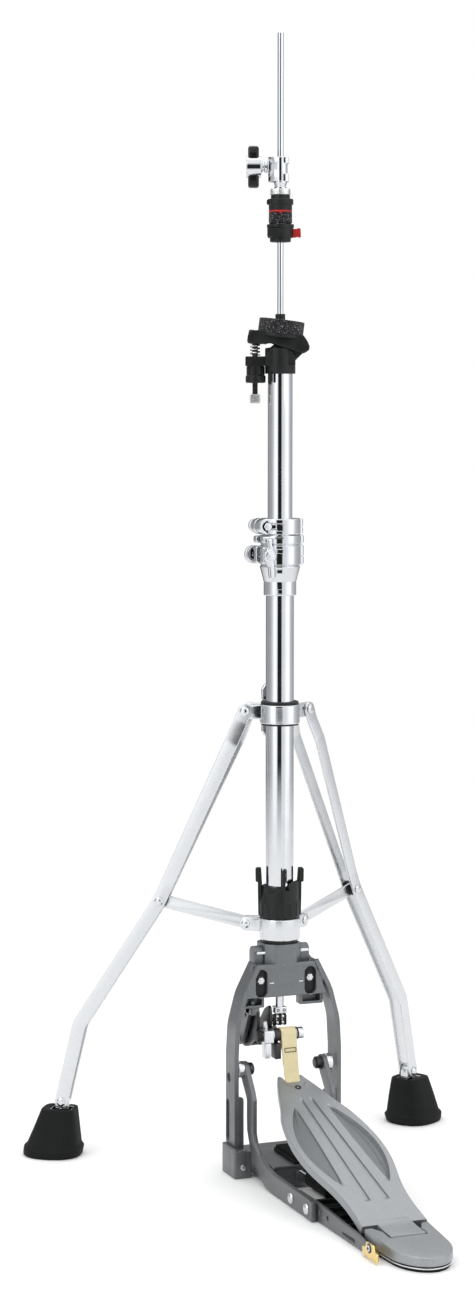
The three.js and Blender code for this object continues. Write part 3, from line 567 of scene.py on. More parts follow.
def clutch():
    p = Piece("clutch_block", "clutch", "chrome", CHROME, "clutch_body", HEAD)
    p.add(cylinder(7.2, 1023.6, 1048.6, 0.9))
    roof = [(-12.4, -3.4), (-6.6, -8.8), (0.4, -5.6), (0.4, 5.6), (-6.6, 8.8), (-12.4, 3.4)]
    for z0, z1 in ((1023.6, 1035.6), (1041.8, 1048.6)):
        p.add(plate([rounded(roof, 0.8)], z1 - z0, 0.8), shift(z=z0))
    arch = [(-12.4, -2.4), (-8, -6.6), (0.4, -5), (0.4, 5), (-8, 6.6), (-12.4, 2.4)]
    p.add(plate([rounded(arch, 0.6)], 24, 0.6), shift(z=1024.2))
    lug = [(0, -6.8), (5.4, -6.4), (8.6, -4), (8.6, 4), (5.4, 6.4), (0, 6.8)]
    for z0, z1 in ((1023.6, 1031.8), (1041.8, 1048.6)):
        p.add(plate([rounded(lug, 1.4)], z1 - z0, 0.8), shift(z=z0))
    p.add(cylinder(7.4, 0, 0.9, 0.4), along(-X, (-12, 0, CLUTCH_BOLT_Z)))
    p.add(turned([(3.4, 1016), (6.3, 1016.2), (6.3, 1018), (5.6, 1019.4), (6.9, 1022.6), (6.9, 1024),
        (3.4, 1024)], 0.6))
    p.add(tube(5.6, 3.4, 963.4, 1017, 0.3), material=STEEL)
    p.done()

    p = Piece("clutch_wing", "clutch_wing", "chrome", CHROME, "clutch_wing_bolt", HEAD)
    profile = [(0, 4), (2.4, 4), (2.4, 13.4), (5.4, 13.4), (6, 14), (6, 16), (4.4, 16.6), (4.4, 18),
        (6, 18.4), (6, 19.6)]
    p.add(turned([*profile, (10.8, 19.8), (10.8, 34.6), (0, 34.6)], 0.7), along(-X, (0, 0, CLUTCH_BOLT_Z)))
    for sign in (1, -1):
        tip = [(-6.4, CLUTCH_BOLT_Z), (-6.6, CLUTCH_BOLT_Z + sign * 14), (-5, CLUTCH_BOLT_Z + sign * 20),
            (0, CLUTCH_BOLT_Z + sign * 21.4), (5, CLUTCH_BOLT_Z + sign * 20),
            (6.6, CLUTCH_BOLT_Z + sign * 14), (6.4, CLUTCH_BOLT_Z)]
        p.add(plate([rounded(tip, 3, 6)], 11, 2.6, 5), plane_yz(-33), GLOSS_BLACK)
    p.done()

    p = Piece("clutch_knurled_nut", "clutch_lock_nut", "steel", NICKEL, "clutch_nut", HEAD)
    teeth = 44
    outline = []
    for i in range(teeth):
        for offset, radius in ((0.0, 10.2), (0.25, 10.8), (0.6, 10.8), (0.85, 10.2)):
            a = math.tau * (i + offset) / teeth
            outline.append((radius * math.cos(a), radius * math.sin(a)))
    p.add(plate([outline, circle(5.9, 40)], 5.9, 0.35, 2), shift(z=1010.4))
    p.done()

    p = Piece("clutch_upper_flange", "clutch", "black_plastic", BLACK_AND_PAINTED_SHADE, "clutch_upper_cup", HEAD)
    p.add(
        turned(
            [(5.9, 994.8), (11.9, 994.8), (11.9, 1000.2), (13.2, 1000.6), (13.2, 1005.6), (12.6, 1006.2),
            (9.8, 1006.2), (9.8, 1010), (5.9, 1010)]
        )
    )
    p.add(block(-14, -12.4, -4, 1, 1001, 1005.2, 0.5))
    p.done()
    p = Piece("clutch_red_washer", "clutch", "red_plastic", RED, (), HEAD)
    p.add(tube(12, 5.9, 992.9, 994.7, 0.3))
    arrow = [(-2.4, 993.2), (2.4, 993.2), (0, 990.8)]
    p.add(plate([arrow], 0.9, 0.2), plane_xz(-11.5))
    p.done()

    felt_disc("clutch_felt_disc", "clutch", 6.4, 11.9, 981.4, 992.8, "clutch_felt", HEAD)

    p = Piece("clutch_cup", "lower_cup", "black_plastic", BLACK_AND_PAINTED_SHADE, "clutch_lower_cup", HEAD)
    cup = [(5.9, 962.8), (10.2, 962.8), (10.7, 963.4), (10.7, 966.6), (12.9, 967.2), (12.9, 976.6),
        (13.8, 977.2), (13.8, 980.6), (5.9, 980.6)]
    p.add(turned(cup, 0.4))
    p.add(block(-13.5, 0.2, -14, -5, 967.8, 976.4, 0.7))
    p.done()

    p = Piece("clutch_red_lever", "release", "red_plastic", RED, "clutch_release_lever", HEAD)
    flag = [(12.2, 967.4), (12.2, 976.2), (16.8, 976), (17.6, 977), (20.6, 976.4), (21, 968.2), (19.8, 967),
        (17.8, 968), (15, 967.2)]
    p.add(plate([rounded(flag, 0.7)], 5.6, 0.8), plane_xz(2.8))
    p.add(block(12.6, 17, -3.3, 3.3, 970.6, 973, 0.5))
    p.done()


def felt_disc(name, body, inner, outer, z0, z1, stands_for, place):
    """Pressed felt: a soft-edged ring whose surface wanders a little."""
    p = Piece(name, body, "felt", FELT, stands_for, place)
    profile = filleted([(inner, z0), (outer, z0), (outer, z1), (inner, z1)], 1.3, 4)
    dense = []
    for i, here in enumerate(profile):
        nxt = profile[(i + 1) % len(profile)]
        parts = max(1, int((nxt - here).length / 0.9))
        dense += [here.lerp(nxt, k / parts) for k in range(parts)]
    rings = []
    sides = 150
    for j in range(sides):
        a = math.tau * j / sides
        ring = []
        for r, z in dense:
            wobble = 0.16 * (random.random() - 0.5) * (1 if r > inner + 0.5 else 0.2)
            ring.append(((r + wobble) * math.cos(a), (r + wobble) * math.sin(a), z + wobble * 0.7))
        rings.append(ring)
    p.add(skin(rings, loop=True))
    p.done(60)


# ---------------------------------------------------------------- seat


SEAT_LEAN = Matrix.Rotation(math.radians(7), 4, "Y")
TILT = shift(SEAT_PIVOT[0], 0, 855.4) @ SEAT_LEAN @ shift(-SEAT_PIVOT[0], 0, -SEAT_PIVOT[2])


def seat():
    p = Piece("seat_housing", "upper", "black_plastic", BLACK_AND_PAINTED_SHADE, "seat_body", HEAD)
    p.add(turned([(13, 829), (15.6, 829), (15.6, 855), (4.4, 857), (4.2, 848.4), (13, 848.4)], 0.7))
    p.add(tube(5.1, 4, 855, 889.8, 0.5))
    side = [
        (15.4, 842.4), (22.6, 849.4), (29.4, 853.6), (29.4, 858.6), (24.5, 861.4), (-4, 861), (-10, 856),
        (-13.5, 849),
        (-15.4, 846.6), (-15.4, 836.8), (14, 836.8),
    ]
    p.add(plate([rounded(side, 1.6)], 19.6, 1.0), plane_xz(9.8))
    skirt = [(15.4, 836.8), (15.4, 846), (11, 853.4), (-7, 856.8), (-12.6, 849.6), (-14.6, 845.6),
        (-14.6, 836.8)]
    p.add(plate([rounded(skirt, 1.6)], 27, 1.2), plane_xz(13.5))
    box_side = [(-35.8, 836.8), (-35.8, 846.6), (-15.4, 846.6), (-13.4, 854.6), (-6, 855.6), (-6, 836.8)]
    p.add(plate([rounded(box_side, 1.2)], 17.4, 1.0), plane_xz(8.7))
    for x in (-35.2, -29.4, -20.6):
        p.add(block(x - 0.6, x + 0.6, -9.3, 9.3, 837.4, 846.2, 0.4))
    at = shift(-25.2, 0, 0)
    p.add(turned([(3.4, 827), (9.0, 827), (8.6, 837), (3.4, 837)], 0.5), at)
    p.add(turned([(3.4, 819.6), (9.4, 819.6), (10.3, 820.8), (10.3, 826.4), (9.4, 827.6), (3.4, 827.6)],
        0.6), at)
    for i in range(10):
        a = math.tau * i / 10
        p.add(block(8.2, 9.4, -0.5, 0.5, 828, 836.4, 0.3), at @ turn(a))
    p.add(block(-12.3, -7.8, -15.6, -12.4, 820.4, 829.4, 0.6))
    p.add(cylinder(2.2, -9.6, 9.6, 0.3), looking_out(*SEAT_PIVOT), STEEL)
    p.done()

    p = Piece("seat_cradle", "tilter", "black_plastic", BLACK_AND_PAINTED_SHADE, "seat_tilter", HEAD @ TILT)
    cheek = [(-34.4, 854.8), (-34.4, 863), (-31, 868), (-20, 869.5), (22, 869.5), (27, 863.6), (29.6, 859),
        (29.6, 855), (25, 851.6), (20, 851.8), (2, 855), (-10, 857.8), (-20, 855.6)]
    outline = rounded(cheek, 3.2, 6)
    for y1 in (16.4, -10.3):
        p.add(plate([outline], 6.1, 1.1), plane_xz(y1))
    p.add(block(-34, -13, -14, 14, 856, 868.6, 2.2))
    p.add(turned([(8.3, 864.4), (22, 864.4), (23, 865.4), (23, 868), (8.3, 868)], 0.6), shift(-1.4, 0, 0))
    for y in (-16.6, 16.6):
        p.add(tube(3.4, 2.2, -0.5, 0.5, 0.3), looking_out(23.8, y, 857))
    p.done()

    place = HEAD @ TILT @ shift(-1.4, 0, -1.8)
    felt_disc("seat_felt_disc", "tilter", 8.3, 23.2, 869.9, 884.2, "seat_felt", place)

    p = Piece("tilt_adjuster_screw", "tilt_adjuster", "steel", BLACK_OXIDE, "tilt_screw",
        HEAD @ shift(TILT_SCREW_X, 0, 0))
    threads = [(0, 807), (2.6, 807)]
    for i in range(26):
        z = 808 + i * 0.9
        threads += [(2.55, z), (2.95, z + 0.45)]
    p.add(turned([*threads, (2.8, 860), (0, 860)], 0.05, 40))
    p.add(plate([rounded([(-5.2, -5.2), (5.2, -5.2), (5.2, 5.2), (-5.2, 5.2)], 0.8)], 9.8, 0.9),
        shift(z=798.4), NICKEL)
    for i in range(4):
        p.add(tube(2.7, 1.7, -0.35, 0.3, 0.2, 32), turn(i * math.pi / 2) @ looking_out(0, -5.2, 803.4),
            STEEL)
    p.done()

    p = Piece("tilt_coil", "upper", "steel", CHROME, "tilt_spring", HEAD @ shift(TILT_SCREW_X, 0, 0))
    p.add(coil(4.6, 0.8, 848, 860.2, 3.6))
    p.done()


# ---------------------------------------------------------------- column


def hex_head(radius, depth, bevel=0.5):
    return plate([circle(radius, 6)], depth, bevel, 3)


def column():
    p = Piece("tube_upper", "upper", "chrome", CHROME, "upper_tube")
    p.add(tube(12.7, 11.2, 470, 848, 0.5, 96))
    p.done()
    p = Piece("tube_lower", "frame", "chrome", CHROME, "lower_tube")
    p.add(tube(14.5, 13.2, 209, 640, 0.6, 96))
    lower = p.done()
    cut(lower, (punch(stadium((0, 302), (0, 316), 2.3), 60), plane_xz(30)))

    p = Piece("clamp_body", "frame", "chrome", CHROME, "height_clamp")
    body = [
        (14.8, 601.7), (16.6, 601.7), (16.8, 603), (16.8, 616), (17.4, 618), (20.8, 631), (20.8, 632),
        (19.4, 632.4), (19.4, 633.4),
        (21, 633.8), (21, 653), (19.4, 653.4), (19.4, 654.8), (20.6, 655.2), (20.6, 663.6), (13, 663.8),
        (13, 641), (14.8, 641),
    ]
    p.add(turned(body, 0.5, 96))
    nub = [(-2.6, 603.4), (2.6, 603.4), (2.6, 608.6), (-2.6, 608.6)]
    p.add(plate([rounded(nub, 0.8)], 1.6, 0.5), HEAD @ plane_xz(-15.9))
    for z0, z1, y in ((644.6, 650.8, -19), (624.4, 630, -17.6), (660, 662.4, -19)):
        p.add(block(-5, 4.4, y, -14.5, z0, z1, 0.4), HEAD, BLACK_AND_PAINTED_SHADE)
    for z0, z1 in ((634.6, 652.4), (655.8, 663)):
        lug = [(-24.6, z0), (-24.6, z1), (-10, z1), (-10, z0)]
        p.add(plate([rounded(lug, 3.0, 6)], 9, 1.2), plane_xz(13.2))
        p.add(plate([rounded(lug, 3.0, 6)], 9, 1.2), plane_xz(-5.4))
    leaf = [(-21.8, 660.6), (-20.6, 652), (-23.6, 646), (-22.6, 638), (-19.8, 632), (-18.6, 620),
        (-15.4, 616.8), (-13, 621), (-13.2, 634), (-14.2, 640), (-13.6, 648), (-15.6, 655), (-15.6, 662)]
    p.add(plate([rounded(leaf, 2.6, 5)], 5.2, 1.8, 5), plane_xz(-13.6))
    p.add(tube(6.6, 3.4, 0, 2.2, 0.7), along(-Y, (CLAMP_BOLT_X, -18.2, 643)))
    for z0, z1 in ((633.8, 641), (642, 652.8), (655.4, 663)):
        p.add(cylinder(3.8, z0, z1, 0.6, 32), shift(23.2, 2, 0))
    p.add(cylinder(2.2, 632.6, 664, 0.4, 24), shift(23.2, 2, 0), STEEL)
    clamp = p.done()
    windows = [
        (block(-4.2, 3.2, -30, -19.6, 645.2, 650.4, 0.6), HEAD),
        (block(-4.2, 2.6, -30, -18.2, 624.8, 629.6, 0.6), HEAD),
        (block(-6, 3.6, -30, -19.4, 660.4, 662.2, 0.3), HEAD),
    ]
    cut(clamp, *windows)

    turning_bolt("clamp_bolt_turning", "clamp_bolt", "height_clamp_bolt", 643, -19.4, 18.8, 9.4)

    p = Piece("memory_collar", "memory", "chrome", CHROME, "memory_lock")
    p.add(turned([(13, 664.7), (20.4, 664.7), (21, 665.4), (21, 679.8), (20.4, 680.8), (13, 680.8)], 0.5,
        96))
    p.add(tube(8.2, 4.8, -2, 12.4, 0.8), looking_out(CLAMP_BOLT_X, 0, 672.9))
    p.add(tube(8.2, 4.8, -12, -3, 0.8), looking_out(CLAMP_BOLT_X, 0, 672.9))
    arm = [(-19.2, 679), (-8, 680.6), (-6, 676), (-12, 668), (-19.2, 665)]
    p.add(plate([rounded(arm, 1.6)], 6, 1.0), plane_xz(-10))
    for z0, z1 in ((665.2, 671), (672, 680)):
        p.add(cylinder(3.4, z0, z1, 0.5, 32), shift(22.8, 2, 0))
    memory = p.done()
    cut(memory, (block(-4.2, 3.4, -30, -17.4, 667.8, 676.4, 0.8), HEAD),
        (block(-13, -3, -30, -16.6, 669.6, 676.4, 1.6), HEAD))
    turning_bolt("memory_bolt_turning", "memory_bolt", "memory_lock_bolt", 673, -12.6, 13, 7.2)

    p = Piece("rod_return_coil", "frame", "steel", STEEL, "rod_spring")
    p.add(coil(8, 0.9, 305.4, 428.8, 14))
    p.done()
    p = Piece("spring_cup", "spring_tension_seat", "steel", SATIN, "spring_seat")
    p.add(tube(12.7, 3.8, 300, 304, 0.4))
    for y in (-18, 5):
        p.add(cylinder(1.7, 0, 13, 0.3, 24), along(Y, (0, y, 302)))
    p.done()


def punch(outline, depth):
    """Sharp-edged prism, to cut with."""
    return plate([outline], depth, 0.05, 0)


def turning_bolt(name, body, node, z, front, back, radius):
    p = Piece(name, body, "chrome", CHROME, node)
    p.add(cylinder(3, front, back + 1, 0.2, 32), looking_back(CLAMP_BOLT_X, 0, z))
    p.add(hex_head(4.4, 2.8), looking_out(CLAMP_BOLT_X, front, z))
    p.add(cylinder(1.9, 2.8, 4.0, 0.5, 32), looking_out(CLAMP_BOLT_X, front, z))
    p.add(turned([(0, 0), (radius, 0), (radius, 3.6), (radius - 1.2, 4.4), (radius - 1.2, 5.6),
        (radius, 6.4), (radius, 9.4), (radius - 2.4, 10.6), (0, 10.6)], 0.7),
        looking_back(CLAMP_BOLT_X, back, z))
    p.done()


def tension_dial():
    p = Piece("tension_crown", "dial", "black_plastic", BLACK_AND_PAINTED_SHADE, "tension_dial")
    p.add(turned([(14.8, 265.9), (20.4, 265.9), (21.4, 267.4), (21.6, 282), (20.6, 286), (18.4, 292),
        (18.2, 299), (14.8, 299.4)], 0.8, 96))
    for degrees, half in ((-18, 4.2), (68.7, 4.2), (158.7, 4.2), (262, 2.6)):
        tooth = [(18.0, 268), (22.2, 268), (22.6, 290), (22.8, 314), (21.6, 317.4), (19.2, 317.4),
            (18.2, 302)]
        place = turn(math.radians(degrees)) @ plane_xz(half)
        p.add(plate([rounded(tooth, 0.9)], 2 * half, 1.0), place)
        if half > 4:
            ear = [(20, 302), (25, 303), (25.2, 316), (23.6, 317.6), (20, 317.6)]
            p.add(plate([rounded(ear, 1.2)], 2 * half - 1, 1.0), place @ shift(z=0.5))
    wall = []
    for i in range(29):
        a = math.radians(206 + 4.4 * i)
        top = 292 + 13 * min(1.0, max(0.0, (i - 2) / 19))
        section = [(17.4, 284), (20.7, 284), (20.7, top - 0.8), (20.0, top), (18.0, top), (17.4, top - 0.8)]
        wall.append([(r * math.cos(a), r * math.sin(a), z) for r, z in section])
    p.add(skin(wall))
    for i in range(16):
        a = math.tau * (i + 0.5) / 16
        p.add(block(20.8, 22.1, -1.1, 1.1, 268.5, 281, 0.5), turn(a))
    crown = p.done()
    step = [(-2.6, 296), (2.6, 296), (2.6, 322), (-2.6, 322)]
    cut(crown, (punch(step, 70), plane_xz(35)))


# ---------------------------------------------------------------- legs


TOP, KNEE, BEND, END = (34.6, 481.6), (127.5, 278.4), (215, 143), (235, 58.5)
BRACE_IN = (34.7, 258.2)
HALF_WIDTH = 7.2


def across_strip(z):
    """How far a strip stands from the leg's middle plane: wide at the collar, close below the knee."""
    stops = [(500, 12.2), (470, 12.2), (449, 15.9), (296, 6.6), (40, 6.6)]
    for (z0, y0), (z1, y1) in zip(stops, stops[1:]):
        if z <= z0 and z >= z1:
            return y0 + (y1 - y0) * (z0 - z) / (z0 - z1)
    return stops[0][1]


def leg_strip_shell(sign):
    flat = smooth_path([(TOP[0], 0, TOP[1]), (47.5, 0, 450), (KNEE[0], 0, KNEE[1]), (BEND[0], 0, BEND[1]),
        (END[0], 0, END[1])], 22, 1.6)
    start, end = (flat[1] - flat[0]).normalized(), (flat[-1] - flat[-2]).normalized()
    steps = 9
    quarter = [0.5 * math.pi * i / steps for i in range(steps + 1)]
    head_part = [flat[0] - start * HALF_WIDTH * math.cos(a) for a in quarter[:-1]]
    tail_part = [flat[-1] + end * HALF_WIDTH * math.sin(a) for a in quarter[1:]]
    path = head_part + flat + tail_part
    widths = [HALF_WIDTH * math.sin(0.5 * math.pi * (i + 0.15) / steps) for i in range(steps)]
    widths += [HALF_WIDTH] * len(flat)
    widths += [HALF_WIDTH * math.cos(0.5 * math.pi * (i - 0.15) / steps) for i in range(1, steps + 1)]
    sharp = [across_strip(p.z) for p in path]
    neighbours = [sharp[max(0, i - 1) : i + 2] for i in range(len(sharp))]
    spread = [sum(values) / len(values) for values in neighbours]
    rings = []
    for i, here in enumerate(path):
        ahead = heading(path, i)
        wide = Y.cross(ahead).normalized()
        lean = (spread[min(i + 1, len(path) - 1)] - spread[max(i - 1, 0)]) / 3.2
        thick = (Y - ahead * lean * 0.9).normalized()
        section = rounded_section(2 * widths[i], 2.6, 0.7)
        outward = thick if sign > 0 else -Y - ahead * lean * 0.9
        rings.append([here + Y * spread[i] * sign + wide * u + outward * v for u, v in section])
    return skin(rings)


def rivet_shell(radius, head, half):
    """A shank along Y with a domed head at each end."""
    return turned(
        [(0, -half - 2.4), (head * 0.55, -half - 2.2), (head, -half - 0.9), (head, -half), (radius, -half),
        (radius, half), (head, half), (head, half + 0.9), (head * 0.55, half + 2.2), (0, half + 2.4)],
        0.7,
        40,
    )


def at_pivot(point):
    return looking_back(point[0], 0, point[1])


def legs():
    for side, angle in LEG_ANGLE.items():
        place = turn(angle)
        body = f"leg_{side}"
        for sign, letter in ((1, "a"), (-1, "b")):
            p = Piece(f"{body}_bar_{letter}", body, "chrome", SOFT_CHROME, f"{body}_strip_{letter}", place)
            p.add(leg_strip_shell(sign))
            p.done(40)
        p = Piece(f"{body}_knee_pin", body, "chrome", CHROME, f"{body}_knee_rivet", place)
        p.add(rivet_shell(3, 4.8, 8), at_pivot(KNEE))
        p.done()
        p = Piece(f"{body}_brace_bar", f"brace_{side}", "chrome", SOFT_CHROME, f"brace_{side}", place)
        stay = stadium(BRACE_IN, KNEE, 6.9)
        hole = circle(4.6, 32, KNEE)
        eye = circle(3.2, 32, BRACE_IN)
        p.add(plate([stay, hole, eye], 3, 0.7), plane_xz(1.5))
        for y in (1.7, -4.9):
            p.add(tube(7.4, 4.6, y, y + 3.2, 0.6, 48), at_pivot(KNEE), BLACK_AND_PAINTED_SHADE)
        p.done()
        foot(side, place)

    p = Piece("leg_collar_lower", "leg_base", "chrome", CHROME, "lower_leg_collar")
    p.add(turned([(14.8, 240.2), (18.8, 240.2), (19, 243), (14.8, 243.2)], 0.3, 96), material=BLACK_AND_PAINTED_SHADE)
    p.add(turned([(14.8, 243.2), (21, 243.2), (21.6, 244), (21.6, 264.4), (21, 265.3), (14.8, 265.3)], 0.4,
        96))
    for angle in LEG_ANGLE.values():
        for y1 in (7.6, -2.4):
            jaw = [(17, 250.4), (17, 265), (38, 265), (40.8, 261), (40.8, 255), (37, 250.8)]
            p.add(plate([rounded(jaw, 2.2, 5)], 5.2, 0.8), turn(angle) @ plane_xz(y1))
        p.add(rivet_shell(2.8, 4.6, 7.6), turn(angle) @ at_pivot(BRACE_IN))
    p.done()

    p = Piece("leg_collar_upper", "leg_top", "chrome", CHROME, "upper_leg_collar")
    p.add(turned([(14.8, 469), (20, 469), (20.6, 469.8), (20.6, 487.8), (20, 488.6), (14.8, 488.6)], 0.4,
        96))
    p.add(turned([(14.8, 467.2), (19.3, 467.2), (19.4, 468.8), (14.8, 469)], 0.3, 96), material=BLACK_AND_PAINTED_SHADE)
    panel = [(-3.2, 471.6), (3.2, 471.6), (3.2, 486.4), (-3.2, 486.4)]
    p.add(plate([rounded(panel, 0.5)], 1.2, 0.35), HEAD @ plane_xz(-19.8), SATIN)
    for angle in LEG_ANGLE.values():
        yoke = [(16, 473), (16, 488.2), (35, 488.6), (41.4, 484.4), (41.4, 478), (36, 473.6)]
        for y1 in (10.5, -7.9):
            p.add(plate([rounded(yoke, 2.4, 5)], 2.6, 0.6), turn(angle) @ plane_xz(y1))
        bridge = [(16, 474), (16, 487), (28, 487), (28, 474)]
        p.add(plate([rounded(bridge, 1.6)], 20, 0.9), turn(angle) @ plane_xz(10))
        p.add(rivet_shell(3, 5, 13.8), turn(angle) @ at_pivot(TOP))
    p.add(tube(7.4, 3.4, 16, 29, 0.8), looking_back(0, 0, COLLAR_BOLT_Z))
    p.done()
    p = Piece("leg_collar_gasket", "leg_top", "black_plastic", BLACK_AND_PAINTED_SHADE, "upper_collar_ring")
    p.add(turned([(14.8, 488.7), (19.2, 488.7), (19.7, 489.4), (19.5, 491), (18.8, 491.8), (14.8, 492)],
        0.5, 96))
    p.done()
    p = Piece("leg_wing_bolt", "leg_wing", "chrome", CHROME, "collar_wing_bolt")
    p.add(turned([(0, 18.5), (3, 18.5), (3, 29.6), (7, 29.8), (6.4, 34), (5.4, 38), (0, 38)], 0.8),
        looking_back(0, 0, COLLAR_BOLT_Z))
    for sign in (-1, 1):
        wing = [(-4, COLLAR_BOLT_Z), (-6.4, COLLAR_BOLT_Z + sign * 12), (-6.8, COLLAR_BOLT_Z + sign * 22),
            (-3, COLLAR_BOLT_Z + sign * 28), (3, COLLAR_BOLT_Z + sign * 28),
            (6.8, COLLAR_BOLT_Z + sign * 22), (6.4, COLLAR_BOLT_Z + sign * 12), (4, COLLAR_BOLT_Z)]
        p.add(plate([rounded(wing, 4, 6)], 4.4, 1.6, 5), plane_xz(36.4))
    p.done()


def foot(side, place):
    p = Piece(f"foot_{side}_boot", f"foot_{side}", "rubber", RUBBER, f"foot_{side}_rubber", place)
    height, middle, sides, side_squash = 51, 235.5, 96, 0.91
    levels = [
        (0, 29.4), (0.7, 30.6), (2, 31.4), (8, 31.5), (9.2, 31.0), (10.2, 29.6), (12.5, 28.2), (30, 23.4),
        (46, 19.2),
        (50.4, 18.0), (height, 16.8),
    ]
    directions = [(math.cos(math.tau * j / sides), math.sin(math.tau * j / sides)) for j in range(sides)]
    rings = []
    for z, radius in levels:
        flange_wave = 1.4 if 8 < z < 13 else 0
        centre = 246.6 - 8 * z / height
        squareness = 2.25 + 2.05 * z / height
        ring = []
        for j, (c, s) in enumerate(directions):
            reach = radius * (abs(c) ** squareness + abs(s) ** squareness) ** (-1 / squareness)
            z_wave = z + flange_wave * math.cos(2 * math.tau * j / sides)
            ring.append((centre + reach * c, side_squash * reach * s, z_wave))
        rings.append(ring)
    rings.append([tuple(Vector(v).lerp(Vector((middle, 0, height)), 0.12)) for v in rings[-1]])
    mouth = []
    for c, s in directions:
        scale = min(12.6 / max(abs(c), 1e-6), 9.6 / max(abs(s), 1e-6))
        mouth.append((c * scale, s * scale))
    for shrink, z in ((1, height), (0.985, 50.2), (0.98, 34)):
        rings.append([(middle + x * shrink, y * shrink, z) for x, y in mouth])
    p.add(skin(rings))
    p.done(45)
    p = Piece(f"foot_{side}_clip", f"foot_{side}", "steel", CHROME, f"foot_{side}_bracket", place)
    x0, x1 = END[0] - 11.6, END[0] + 12.4
    for y1 in (9.2, -7.8):
        rim = [(x0, 36), (x1, 36), (x1, 50.6), (x0, 50.6)]
        p.add(plate([rim], 1.4, 0.4), plane_xz(y1))
    p.add(block(x0, x0 + 1.5, -9.2, 9.2, 36, 50.8, 0.4))
    p.add(block(x1 - 1.5, x1, -9.2, 9.2, 36, 50.8, 0.4))
    tab = stadium((END[0], 40), END, 7.2)
    p.add(plate([tab], 9.6, 0.8), plane_xz(4.8))
    p.add(rivet_shell(3, 4.8, 8), at_pivot(END))
    p.done()


# ---------------------------------------------------------------- frame


def channel(path, thick, lip, place_from, place_to):
    """Flat band that follows the arch, with a raised lip along its front and back edges."""
    rings = []
    for i, here in enumerate(path):
        ahead = heading(path, i)
        inward = Y.cross(ahead).normalized()
        section = [
            (0, place_from), (0, place_to), (thick, place_to), (thick, place_to - lip),
            (thick * 0.62, place_to - lip - 1), (thick * 0.62, place_from + lip + 1),
            (thick, place_from + lip), (thick, place_from),
        ]
        rings.append([here + inward * u + Y * v for u, v in section])
    return skin(rings)


